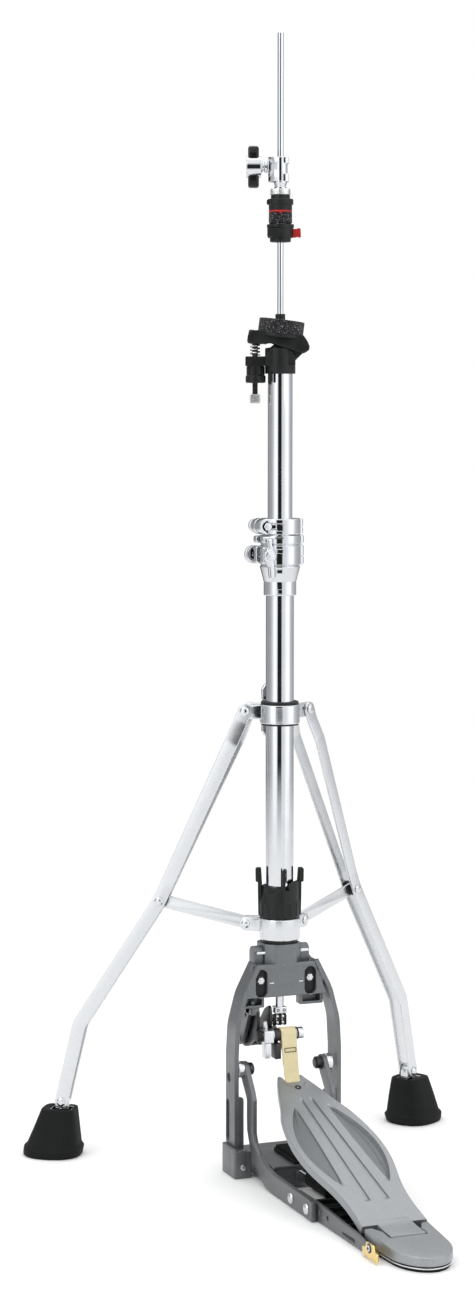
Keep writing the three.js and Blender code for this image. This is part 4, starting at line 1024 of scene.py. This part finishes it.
def frame_parts():
    p = Piece("frame_yoke", "frame", "cast_grey", DARK_CAST, "frame_casting")
    outer = [(-57.6, 2), (-57.6, 126), (-56, 157), (-47.6, 189.5), (-32, 220)]
    for sign in (1, -1):
        points = [(sign * -x, 0, z) for x, z in outer]
        path = smooth_path(points, 60, 2.5)
        p.add(channel(path, 4.7, 2.6, -18.9, 6.2))
    left_wall = [(-16.5, 26), (-16.5, 81), (-5.8, 81), (-5.8, 26)]
    for m in (IDENTITY, MIRROR):
        p.add(plate([rounded(left_wall, 3.2, 5)], 7.4, 1.0), m @ plane_yz(46.2))
    face = [(-45.6, 185.3), (-32.2, 219.8), (32.2, 219.8), (45.6, 185.3)]
    slots = [stadium((x, 192), (x, 208.4), 6.4) for x in (-FASCIA_SLOT_X, FASCIA_SLOT_X)]
    p.add(plate([rounded(face, 1.4), *slots], 5.4, 0.9), plane_xz(-13.5))
    p.add(block(-37, 37, -9, 6, 186, 208.4, 1.0))
    p.add(block(-36, 36, -12.4, -8, 205, 219, 1.0))
    p.add(block(-19, 19, -15, -8, 186, 206, 0.6))
    for x in (-FASCIA_SLOT_X, FASCIA_SLOT_X):
        p.add(plate([stadium((x, 191), (x, 209.4), 7.4)], 2, 0.3), plane_xz(-12.4), BLACK_AND_PAINTED_SHADE)
        inward = -math.copysign(11, x)
        p.add(block(x + inward - 2.4, x + inward + 2.4, -19.3, -18.6, 199.6, 200.8, 0.2), material=CHROME)
    neck = [(-20.2, -9.4), (-11.6, -18.6), (11.6, -18.6), (20.2, -9.4), (20.2, 13), (12, 20), (-12, 20),
        (-20.2, 13)]
    bore = circle(14.9, 64)
    p.add(plate([rounded(neck, 1.6), bore], 35, 1.0), shift(z=204.6))
    for m in (IDENTITY, MIRROR):
        tower = stadium((0.5, 212), (0.5, 230), 6.8)
        p.add(plate([tower], 12, 1.6, 5), m @ plane_yz(19.5))
        p.add(block(19.4, 29, -10.4, -5.2, 229, 232.2, 0.8), m, CHROME)
        frame_rib = [(20, 172.6), (20, 190), (46, 190), (46, 172.6)]
        hole = [(23, 175.8), (23, 185.6), (42.6, 185.6), (42.6, 175.8)]
        p.add(plate([rounded(frame_rib, 1.4), rounded(hole, 1.2)[::-1]], 12, 0.8), m @ plane_xz(4))
        p.add(block(22, 43.5, 1.6, 4.2, 174.5, 188, 0.6), m)
    yoke = p.done()
    cutters = []
    for m in (IDENTITY, MIRROR):
        cutters.append((cylinder(5, 44, 70, 0.2, 40), m @ along(X, (0, -2.4, 101))))
        cutters.append((punch(stadium((0.6, 38), (0.6, 73), 4.6), 22), m @ plane_yz(50)))
    cut(yoke, *cutters)

    for x, side in ((-FASCIA_SLOT_X, "left"), (FASCIA_SLOT_X, "right")):
        p = Piece(f"fascia_screw_{side}", "frame", "steel", CHROME, f"fascia_bolt_{side}")
        p.add(tube(5, 2.4, 0, 0.9, 0.3), along(-Y, (x, -14.4, 203)), BLACK_OXIDE)
        p.add(hex_head(3.9, 2.2), along(-Y, (x, -15.2, 203)))
        p.add(cylinder(2.1, 2, 3.6, 0.8, 32), along(-Y, (x, -14.8, 203)))
        p.done()

    for side, m in (("left", MIRROR), ("right", IDENTITY)):
        p = Piece(f"frame_shoe_{side}", "frame", "cast_grey", DARK_CAST, f"frame_foot_{side}")
        p.add(block(57.9, 61.8, -29.6, 6.2, 0, 31, 1.0), m)
        p.add(block(47.6, 61.9, -30.2, -19.2, 0, 29.4, 1.2), m)
        p.add(block(42.6, 49, -29.6, -19.2, 0, 28.4, 1.2), m)
        p.add(cylinder(3.2, 0, 1.4, 0.6, 32), m @ along(-Y, (52.4, -30, 12)), SATIN)
        p.done()

    p = Piece("platform_plate", "frame", "cast_grey", DARK_CAST, "base_platform")
    sheet = [(-40.8, -84), (-40.8, -18), (-52.4, -14), (-52.4, 8), (52.4, 8), (52.4, -14), (40.8, -18),
        (40.8, -84)]
    p.add(plate([rounded(sheet, 2.0)], 4, 1.0), shift(z=21))
    for m in (IDENTITY, MIRROR):
        p.add(block(37.4, 40.8, -84, -20, 4, 23, 1.0), m)
    front = [(-40.8, 5), (-40.8, 23.6), (40.8, 23.6), (40.8, 5)]
    window = [(-15, 8), (-15, 19), (15, 19), (15, 8)]
    p.add(plate([rounded(front, 1.4), rounded(window, 2)[::-1]], 3.6, 0.8), plane_xz(-80.4))
    p.done()

    p = Piece("platform_rubber", "frame", "rubber", RUBBER, "platform_pad")
    p.add(block(-17, 17, -82, -26, 25.1, 29.4, 1.2))
    for i in range(12):
        y = -80 + i * 4.4
        p.add(block(-15.8, 15.8, y, y + 2.6, 28.4, 32.6, 0.6))
    p.done()

    p = Piece("bumper", "frame", "rubber", RUBBER, "base_bumper")
    p.add(turned([(0, 91), (8.6, 91), (9.8, 92.4), (9.8, 118), (9.4, 120), (9.8, 122), (9.8, 144),
        (8.4, 146), (0, 146)], 0.8), along(-Y, (0, 0, BUMPER_Z)))
    p.add(cylinder(3.4, 60, 92, 0.4, 32), along(-Y, (0, 0, BUMPER_Z)), CHROME)
    p.add(cylinder(5.2, 84, 91.2, 0.6, 40), along(-Y, (0, 0, BUMPER_Z)), CHROME)
    p.add(cylinder(1.8, 145, 154, 0.3, 32), along(-Y, (0, 0, 15.4)), CHROME)
    p.done()


# ---------------------------------------------------------------- lever and strap


PIVOT = (30, 134)
SHAFT = (-20, 146)


def lever():
    y, z = PIVOT
    sy, sz = SHAFT
    p = Piece("hanger_arm", "frame", "cast_grey", DARK_CAST, "lever_hanger")
    p.add(plate([stadium((4, 176), (y, z), 7.2), circle(2.4, 28, (12, 162))], 5, 0.9), plane_yz(-33.4))
    p.add(block(-33.4, -24, -5, 12, 164, 173.2, 1.0))
    p.add(cylinder(3, -37, 8, 0.3, 32), along(X, (0, y, z)), BLACK_OXIDE)
    p.add(hex_head(6, 4.2, 0.7), along(-X, (-33.2, y, z)), CHROME)
    p.done()

    p = Piece("lever_rocker", "lever", "black_plastic", BLACK_OXIDE, "lever_cam")
    p.add(tube(9.4, 3.3, -27.9, 8, 0.6), along(X, (0, y, z)))
    p.add(plate([stadium((y, z), (sy, sz), 6.8), circle(3.4, 32, (y, z)), circle(5.3, 32, (sy, sz))], 6.6,
        0.8), plane_yz(-15.6))
    cheek = [(y + 8, z - 2), (y + 4, z + 10), (10, 168), (-3, 174), (-6, 166), (-6, 152), (2, 138),
        (y - 6, z - 9)]
    p.add(plate([rounded(cheek, 4, 6)], 3.4, 0.8), plane_yz(-27.4))
    p.add(plate([rounded(cheek, 4, 6)], 3.0, 0.8), plane_yz(-13.2))
    p.add(plate([stadium((y, z), (4, 141.5), 4.6)], 17, 0.8), plane_yz(-10))
    p.add(block(-15.2, -8.8, -27, -14, 121.4, 138, 0.8))
    p.done()

    p = Piece("strap_axle", "lever", "chrome", CHROME, "strap_shaft")
    p.add(turned([(0, -28.2), (5, -28.2), (5, 8.9), (6.2, 8.9), (6.2, 10.6), (0, 10.6)], 0.3),
        along(X, (0, sy, sz)))
    p.add(cylinder(6.3, 11.2, 17.4, 0.8), along(X, (0, sy, sz)), SATIN)
    p.add(cylinder(6.6, 9.6, 11.2, 0.3), along(X, (0, sy, sz)), BLACK_AND_PAINTED_SHADE)
    p.add(cylinder(6.4, -34, -28, 0.7), along(X, (0, sy, sz)), BLACK_AND_PAINTED_SHADE)
    p.add(cylinder(6.1, -16.6, -8.6, 0.6), along(X, (0, sy, sz)), SATIN)
    p.done()

    p = Piece("axle_block", "lever", "steel", SATIN, "shaft_block")
    p.add(plate([rounded([(sy - 7, sz - 7.4), (sy + 7, sz - 7.4), (sy + 7, sz + 5.8), (sy - 7, sz + 5.8)],
        1.2), circle(5.2, 32, (sy, sz))], 10.6, 0.9), plane_yz(-27.4))
    p.add(block(-26, -19.8, sy - 5, sy + 5, sz - 23.4, sz - 7, 0.8))
    p.add(cylinder(2.2, 0, 10.6, 0.6, 32), along((-0.18, -0.1, 1), (-23, sy, sz + 4.6)), CHROME)
    p.done()

    p = Piece("chain_rows", "rod", "black_plastic", BLACK_OXIDE, "rod_chain")
    for x in (-7, -5.6, -1.6, 0.4, 4.4, 5.8):
        waist = [tuple(v) for v in stadium((0, 153.8), (0, 160.2), 3.1)]
        p.add(plate([waist], 1.2, 0.3), plane_yz(x))
    for z in (153.8, 160.2):
        for x in (-4.4, 1.6):
            p.add(cylinder(2.6, x, x + 2.8, 0.3, 32), along(X, (0, 0, z)), STEEL)
        p.add(cylinder(1.3, -7.6, 7.6, 0.3, 24), along(X, (0, 0, z)), CHROME)
    p.done()

    p = Piece("clevis_block", "rod", "chrome", CHROME, "rod_clevis")
    p.add(block(-6.6, 6.6, -5, 5, 164, 171.2, 1.0))
    p.add(tube(4.6, 3.4, 170.6, 183, 0.4))
    for x in (-3.4, 3.4):
        p.add(tube(1.7, 0.9, 0, 0.7, 0.2, 28), along(-Y, (x, -4.7, 167.6)), BLACK_OXIDE)
    p.done()

    strap()


def strap():
    """Webbing that loops over the axle, doubles down to the footboard's hook and tucks under it."""
    sy, sz = SHAFT
    p = Piece("strap_webbing", "strap", "webbing", WEBBING, "pull_strap")
    radius = 6.4
    front = []
    for i in range(26):
        a = math.radians(188 - i * 8.2)
        front.append(Vector((0, sy + radius * math.cos(a), sz + radius * math.sin(a))))
    down = smooth_path([(0, sy - 6.34, sz - 1), (0, sy - 8.2, 137), (0, -33.4, 108), (0, -38.3, 96.4)], 14,
        1.2)
    path = list(reversed(down)) + front[1:]
    p.add(ribbon(path, 8.3, 1.05))
    back = smooth_path([(0, sy + 4.6, sz - 4.4), (0, sy - 2.6, 138), (0, sy - 8.2, 128), (0, -29.6, 115.5)],
        10, 1.2)
    p.add(ribbon(back, 8.25, 1.0))
    hem = smooth_path([(0, -31.6, 108.4), (0, -34.8, 108.6 - 6), (0, -38.6, 97)], 6, 1.2)
    p.add(ribbon([v + Vector((0, -0.9, 0)) for v in hem], 8.3, 0.8))
    p.done(50)

    p = Piece("strap_stitching", "strap", "webbing", THREAD, ())
    along_strap = Vector((0, -33.4 - (sy - 8.2), 108 - 137)).normalized()
    out = Vector((0, -along_strap.z, along_strap.y)).normalized()
    if out.y > 0:
        out = -out
    middle = Vector((0, sy - 8.2, 137)) + along_strap * 6.2 + out * 1.15
    corners = [(-6.2, -2.0), (6.2, -2.0), (6.2, 2.0), (-6.2, 2.0)]
    loop = [middle + X * u + along_strap * v for u, v in corners]
    for a, b in zip(loop, loop[1:] + loop[:1]):
        count = max(2, round((b - a).length / 1.7))
        for i in range(count):
            start, end = a.lerp(b, (i + 0.08) / count), a.lerp(b, (i + 0.92) / count)
            p.add(cylinder(0.42, 0, (end - start).length, 0.2, 10), along(end - start, start))
    p.done()


def ribbon(path, half, thick):
    """A flat band square to X, with soft selvedges."""
    rings = []
    section = rounded_section(2 * half, 2 * thick, thick * 0.9)
    for i, here in enumerate(path):
        ahead = heading(path, i)
        out = X.cross(ahead).normalized()
        rings.append([here + X * u + out * v for u, v in section])
    return skin(rings)


# ---------------------------------------------------------------- pedal


def pedal():
    for side, m in (("left", MIRROR), ("right", IDENTITY)):
        p = Piece(f"arm_{side}", "pedal_base", "cast_grey", DARK_CAST, f"side_arm_{side}")
        sweep = [
            (-3.6, 112), (-6, 118), (-14, 119.6), (-20, 116), (-38, 92), (-41.8, 84), (-41.8, 50),
            (-46, 41), (-58, 31),
            (-78, 24), (-100, 21.5), (-196, 21), (-196, 1.2), (-92, 1.2), (-74, 3.5), (-58, 10), (-43, 21),
            (-33, 34),
            (-25.4, 50), (-24.8, 62), (-24.8, 82), (-8, 102), (-3.6, 108),
        ]
        outline = rounded(sweep, 7, 6)
        p.add(plate([outline, circle(3.6, 28, (-12, 110.6))], 5, 0.8), m @ plane_yz(41.5))
        p.add(tube(8.8, 4.2, 46.2, 52.6, 0.6), m @ along(X, ARM_PIVOT), SATIN)
        p.add(cylinder(4, 34.6, 53.4, 0.4, 40), m @ along(X, ARM_PIVOT), SATIN)
        p.add(turned([(0, -7), (4.6, -7), (6.4, -5.6), (6.6, -1.4), (7.4, -1), (7.4, 0.2), (0, 0.2)], 0.7,
            40), m @ along(X, (41.4, -12, 110.6)), BLACK_OXIDE)
        for y in (-146, -186):
            dome = [(0, 46.2), (5.6, 46.2), (5.6, 47.4), (4.8, 48.6), (2.2, 49.5), (0, 49.6)]
            p.add(turned(dome, 0.6, 48), m @ along(X, (0, y, 10.6)), SATIN)
        p.add(block(41.4, 47.3, -199, -193, 1.6, 20.4, 1.0), m)
        p.done()

    p = Piece("link_frame", "pedal_base", "cast_grey", DARK_CAST, "heel_link")
    bend = shift(41.1, -150, 0) @ Matrix.Rotation(-0.014, 4, "Z") @ shift(-41.1, 150, 0)
    outline = rounded([(-150, 19.4), (-206, 19.4), (-292, 14.6), (-318, 9.4), (-318, 1.4), (-150, 1.4)],
        2.2)
    holes = [circle(1.7, 24, (-205, 11)), circle(2.4, 24, (-222, 10.4))]
    for m in (IDENTITY, MIRROR):
        p.add(plate([outline, *holes], 3.5, 0.8), m @ bend @ plane_yz(37.6))
    cross = [(-39.6, -286), (39.6, -286), (39.6, -160), (-39.6, -160)]
    gaps = ((-244, -228), (-214, -202), (-188, -176))
    windows = [[(-26, y0), (26, y0), (26, y1), (-26, y1)] for y0, y1 in gaps]
    holes = [rounded(w, 3)[::-1] for w in windows]
    # Painted shade: the cross plate, its front block and the ribs belong to the grey cast heel link and are
    # drawn black because they lie in shade under the footboard.
    p.add(plate([cross, *holes], 4, 0.8), shift(z=4), BLACK_AND_PAINTED_SHADE)
    p.add(block(-39.6, 39.6, -161, -138, 1.6, 4.2, 0.6), material=BLACK_AND_PAINTED_SHADE)
    for y, top in ((-166, 12), (-194, 12), (-220, 12), (-250, 11), (-284, 8.6)):
        p.add(block(-38, 38, y - 1.6, y + 1.6, 4.4, top, 0.8), material=BLACK_AND_PAINTED_SHADE)
    p.done()

    footboard()
    heel()


BOARD = shift(0, -291.7, 21.2) @ Matrix.Rotation(math.radians(17.4), 4, "X")
BOARD_LENGTH = 275.5


def board_half_width(y):
    stops = [(0, 34.2), (24, 33.2), (45, 33.6), (68, 36.4), (108, 44.4), (138, 46.4), (166, 44.4),
        (203, 37.4), (220, 31.2), (250, 22.4), (275.5, 13.6)]
    ys = [s[0] for s in stops]
    vals = [s[1] for s in stops]
    slopes = []
    for i in range(len(stops)):
        a, b = max(i - 1, 0), min(i + 1, len(stops) - 1)
        slopes.append((vals[b] - vals[a]) / (ys[b] - ys[a]))
    for i in range(len(stops) - 1):
        if y <= ys[i + 1]:
            h = ys[i + 1] - ys[i]
            t = (y - ys[i]) / h
            return (
                (2 * t**3 - 3 * t**2 + 1) * vals[i]
                + (t**3 - 2 * t**2 + t) * h * slopes[i]
                + (-2 * t**3 + 3 * t**2) * vals[i + 1]
                + (t**3 - t**2) * h * slopes[i + 1]
            )
    return vals[-1]


def board_section(y):
    """Half of the section across the board: (x, height, is it in a recess) from the middle out."""
    half = board_half_width(y)
    middle = 10 - (y - 44) / 186 * 4.5
    reach = 2.3 - (y - 44) / 186 * 1.1
    deep = 1.7 * min(1.0, max(0.0, (y - 40) / 5), max(0.0, (232 - y) / 5))
    points = [(0, 0, False), (middle - reach - 0.3, 0, False), (middle - reach + 0.1, -deep, deep > 0.3)]
    points += [(middle + reach - 0.1, -deep, deep > 0.3), (middle + reach + 0.3, 0, False)]
    t = min(1.0, max(0.0, (218 - y) / 150))
    outer = (1 - t) ** 2 * 17 + 2 * t * (1 - t) * 60 + t**2 * 24.5
    inner = (1 - t) ** 2 * 17 + 2 * t * (1 - t) * 18.5 + t**2 * 24
    width = outer - inner
    floor = min(1.0, max(0.0, width - 0.8) / 5)
    wall = min(0.9, width / 3)
    crease = inner + width * 0.55
    points += [(inner, 0, False), (inner + wall, -1.7 * floor, width > 1)]
    points += [(crease, -2.0 * floor, width > 1), (crease + width * 0.06, -2.7 * floor, width > 1)]
    points += [(outer - 1.4 * wall, -3.3 * floor, width > 1), (outer, 0, False)]
    for k in range(7):
        a = 0.5 * math.pi * k / 6
        points.append((half - 1.8 + 1.8 * math.sin(a), -1.8 + 1.8 * math.cos(a), False))
    flat = len(points) - 7
    for k, (x, z, dark) in enumerate(points[:flat]):
        points[k] = (min(x, half - 2.2 - 0.05 * (flat - k)), z, dark)
    dense = []
    for (x0, z0, _), (x1, z1, recessed) in zip(points, points[1:]):
        for k in range(3):
            dense.append((x0 + (x1 - x0) * k / 3, z0 + (z1 - z0) * k / 3, recessed))
    dense.append(points[-1])
    return dense


def footboard():
    p = Piece("footboard_plate", "board", "board_grey", LIGHT_CAST, "footboard", BOARD)
    p.materials.append(POCKET_CAST)
    steps_y, thick = 300, 8
    notch_depth, notch_start, notch_half = 13, 236, 9.3
    rows = []
    for i in range(steps_y + 1):
        y = BOARD_LENGTH * i / steps_y
        side = board_section(y)
        row = [(-x, z, r) for x, z, r in reversed(side)] + side[1:]
        rows.append([(x, y, z, r) for x, z, r in row])
    width = len(rows[0])
    verts, faces, dark = [], [], []

    def placed(x, y, z):
        end = BOARD_LENGTH - notch_depth * min(1, max(0, (notch_half + 0.4 - abs(x)) / 0.8))
        if y > notch_start:
            y = notch_start + (y - notch_start) * (end - notch_start) / (BOARD_LENGTH - notch_start)
        return x, y, z

    for row in rows:
        verts += [placed(x, y, z) for x, y, z, _ in row]
    base = len(verts)
    for row in rows:
        verts += [placed(x, y, -thick) for x, y, _, _ in row]
    for i in range(steps_y):
        for j in range(width - 1):
            a = i * width + j
            faces.append((a, a + 1, a + width + 1, a + width))
            near = rows[i][j][2] < -0.5 and rows[i][j + 1][2] < -0.5
            dark.append(near and (rows[i][j][3] or rows[i][j + 1][3]) and abs(rows[i][j][0]) > 13)
            a += base
            faces.append((a + 1, a, a + width, a + width + 1))
            dark.append(False)
    last = steps_y * width
    for i in range(steps_y):
        a, b = i * width, i * width + width - 1
        faces += [(a, a + width, base + a + width, base + a), (b + width, b, base + b, base + b + width)]
    for j in range(width - 1):
        k = last + j
        faces += [(j + 1, j, base + j, base + j + 1), (k, k + 1, base + k + 1, base + k)]
    made = [p.bm.verts.new(v) for v in verts]
    for k, face in enumerate(faces):
        p.bm.faces.new([made[i] for i in face]).material_index = 1 if k < len(dark) and dark[k] else 0
    p.done(38)

    p = Piece("footboard_tongue", "board", "board_grey", LIGHT_CAST, ())
    tongue = [
        (-283, 23.9), (-287.5, 22.7), (-291.5, 21.6), (-296, 20.8), (-303, 20.1), (-322, 19), (-322.6, 15),
        (-321, 6.4),
        (-312, 6.4), (-307, 12.6), (-283, 15.6),
    ]
    p.add(plate([rounded(tongue, 0.8), circle(2.6, 28, (-316, 10))], 36.4, 0.7), plane_yz(-18.2))
    p.done()
    p = Piece("footboard_screw", "board", "steel", BLACK_OXIDE, (), BOARD)
    p.add(tube(3.4, 1.5, -0.6, 0.7, 0.3, 40), shift(0, 252, 0))
    p.add(cylinder(1.6, -1, 0.2, 0.1, 6), shift(0, 252, 0), STEEL)
    p.done()


def heel_outline(inset, notch):
    """Plan of the heel: sides that close in, an oval end, and the notch for the footboard if asked."""
    half, end_half, end_start, end_length = 33.2 - inset, 30.6 - inset, -342, 43 - inset
    points = [(-half, -296)]
    for i in range(24):
        a = 0.5 * math.pi * i / 24
        points.append((-end_half * math.cos(a), end_start - end_length * math.sin(a)))
    points += [(-x, y) for x, y in reversed(points)]
    if notch:
        points += [(25.5, -296), (19.6, -308), (19.6, -324.4), (-19.6, -324.4), (-19.6, -308),
            (-25.5, -296)]
    return points


def heel():
    p = Piece("heel_casting", "pedal_base", "board_grey", LIGHT_CAST, "heel_plate")
    verts, faces = plate([heel_outline(0, True)], 12.4, 1.6, 5)

    def sloped(x, y, z):
        top = 20.4 + 0.068 * (y + 296)
        return x, y, 5.6 + z * (top - 5.6) / 12.4

    p.add(([sloped(*v) for v in verts], faces))
    p.add(block(-33, 33, -296.4, -289, 5, 14, 0.8), material=BLACK_AND_PAINTED_SHADE)
    p.add(block(-19.4, 19.4, -324.6, -296, 4.2, 6, 0.4), material=BLACK_AND_PAINTED_SHADE)
    p.add(block(-27, 27, -309, -296, 4.2, 6.4, 0.4), material=BLACK_AND_PAINTED_SHADE)
    for x in (-19.5, 18.5):
        p.add(block(x, x + 1.0, -324.2, -297, 4.2, 17.2, 0.3), material=BLACK_AND_PAINTED_SHADE)
    p.add(block(-19.4, 19.4, -324.3, -323.2, 4.2, 16.8, 0.3), material=BLACK_AND_PAINTED_SHADE)
    p.add(cylinder(2.3, -26, 26, 0.3, 32), along(X, HEEL_PIN), STEEL)
    p.done()

    p = Piece("heel_rubber", "pedal_base", "rubber", RUBBER, "heel_sole")
    for inset, z0, z1, material in ((2.4, 0, 2.7, RUBBER), (1.0, 2.9, 4.3, SATIN), (2.6, 4.1, 5.6, RUBBER)):
        p.add(plate([heel_outline(inset, False)], z1 - z0, 0.4), shift(z=z0), material)
    p.done()

    p = Piece("heel_key", "pedal_base", "brass", BRASS, "heel_wedge")
    outline = [(-312, 2), (-312, 10), (-319, 11), (-321, 16.5), (-336, 16.5), (-338, 11), (-346, 10.4),
        (-346, 1.4)]
    p.add(plate([rounded(outline, 1.2)], 1.8, 0.4), plane_yz(-42.9))
    p.add(block(-41.6, -30, -322, -319.6, 2.2, 10.4, 0.5))
    p.add(tube(4.6, 2.2, 0, 0.8, 0.3, 40), along(-X, KEY_SCREW), BLACK_OXIDE)
    p.add(cylinder(3.2, 0, 1.7, 0.5, 40), along(-X, KEY_SCREW), CHROME)
    p.add(cylinder(1.6, 1.5, 2.1, 0.2, 6), along(-X, KEY_SCREW), BLACK_OXIDE)
    p.done()


# ---------------------------------------------------------------- studio


def backdrop():
    """Light tent round the object: bright panels beside the camera, a dark gap behind it."""
    stops = [
        (-180, 0.12), (-158, 0.06), (-146, 0.40), (-128, 0.44), (-92, 0.52), (-75, 0.7), (-60, 1.1),
        (-50, 1.6), (-34, 1.6), (-23, 1.15),
        (-18, 0.02), (11, 0.02), (16, 1.0), (32, 1.05), (46, 1.3), (56, 1.6), (78, 1.6), (94, 0.86),
        (106, 0.7),
        (123, 0.56), (147, 0.47), (168, 0.4), (180, 0.12),
    ]
    world = bpy.data.worlds.new("studio")
    bpy.context.scene.world = world
    n = Tree(world)

    def math_node(operation, *inputs):
        node = n.add("ShaderNodeMath", operation=operation)
        for socket, value in zip(node.inputs, inputs):
            if isinstance(value, (int, float)):
                socket.default_value = value
            else:
                n.tree.links.new(value, socket)
        return node.outputs[0]

    sky = n.add("ShaderNodeTexCoord").outputs["Generated"]
    turned_way = n.add("ShaderNodeMapping", {"Rotation": (0, 0, -HEAD_TURN)}, {"Vector": sky})
    parts = n.add("ShaderNodeSeparateXYZ", links={"Vector": turned_way.outputs["Vector"]}).outputs
    angle = math_node("ARCTAN2", parts["X"], math_node("MULTIPLY", parts["Y"], -1.0))
    place = math_node("MULTIPLY_ADD", angle, 0.5 / math.pi, 0.5)
    tints = []
    for degrees, value in stops:
        tints.append((0.5 + degrees / 360, (value / 2, value / 2 * 1.01, value / 2 * 1.03)))
    height = n.add("ShaderNodeMapRange", {"From Min": 0.3, "From Max": 0.65},
        {"Value": parts["Z"]}).outputs["Result"]
    overhead = n.mix(height, n.ramp(place, *tints), (0.62, 0.62, 0.62, 1))
    camera_ray = n.add("ShaderNodeLightPath").outputs["Is Camera Ray"]
    background = n.tree.nodes["Background"]
    background.inputs["Strength"].default_value = 2.0
    n.tree.links.new(n.mix(camera_ray, overhead, (0.5, 0.5, 0.5, 1)), background.inputs["Color"])


def studio():
    floor_look = Look("studio_floor").set(Roughness=0.9, Specular_IOR_Level=0.1)
    tone = floor_look.noise(1.3, 3)
    floor_look.link(Base_Color=floor_look.ramp(tone, (0.3, (0.91, 0.91, 0.91)), (0.7, (0.93, 0.93, 0.93))))
    distance = floor_look.add("ShaderNodeVectorMath", {}, {0: floor_look.place},
        operation="LENGTH").outputs["Value"]
    floor_look.link(Alpha=floor_look.range(distance, 1.0, 0.0, FLOOR_FADE, FLOOR_REACH))
    mesh = bpy.data.meshes.new("floor")
    mesh.from_pydata([(x, y, 0) for x, y in circle(FLOOR_REACH, 64)], [], [tuple(range(64))])
    mesh.materials.append(floor_look.material)
    scene_object("floor", mesh)
    backdrop()

    centre = Vector((COLUMN.translation.x, COLUMN.translation.y, 0))
    toward = Vector((math.sin(HEAD_TURN), -math.cos(HEAD_TURN), 0))
    right = Vector((math.cos(HEAD_TURN), math.sin(HEAD_TURN), 0))

    def softbox(name, centre_at, target, size, energy):
        light = bpy.data.lights.new(name, "AREA")
        light.shape = "RECTANGLE"
        light.size, light.size_y = size
        light.energy = energy
        facing = (centre_at - target).to_track_quat("Z", "Y").to_matrix().to_4x4()
        scene_object(name, light).matrix_world = Matrix.Translation(centre_at) @ facing

    aim = centre + Z * 0.4
    softbox("key", centre + toward * 1.8 - right * 1.9 + Z * 2.6, aim, (1.4, 1.8), 16)
    softbox("fill", centre + toward * 2.2 + right * 2.2 + Z * 2.0, aim, (1.2, 1.8), 6)
    softbox("top", centre - toward * 0.6 + Z * 3.0, aim, (2.2, 2.2), 14)

    scene = bpy.context.scene
    scene.view_settings.view_transform = "Standard"
    scene.view_settings.look = "None"
    scene.view_settings.exposure = 0.0

    camera = bpy.data.cameras.new("camera")
    camera.sensor_fit = "VERTICAL"
    camera.sensor_height = camera.sensor_width = SENSOR
    camera.lens = LENS
    made = scene_object("camera", camera)
    made.location = centre + CAMERA_OFFSET
    made.rotation_euler = [math.radians(degrees) for degrees in CAMERA_TURN]
    bpy.context.scene.camera = made


pull_rod()
clutch()
seat()
column()
tension_dial()
legs()
frame_parts()
lever()
pedal()
studio()
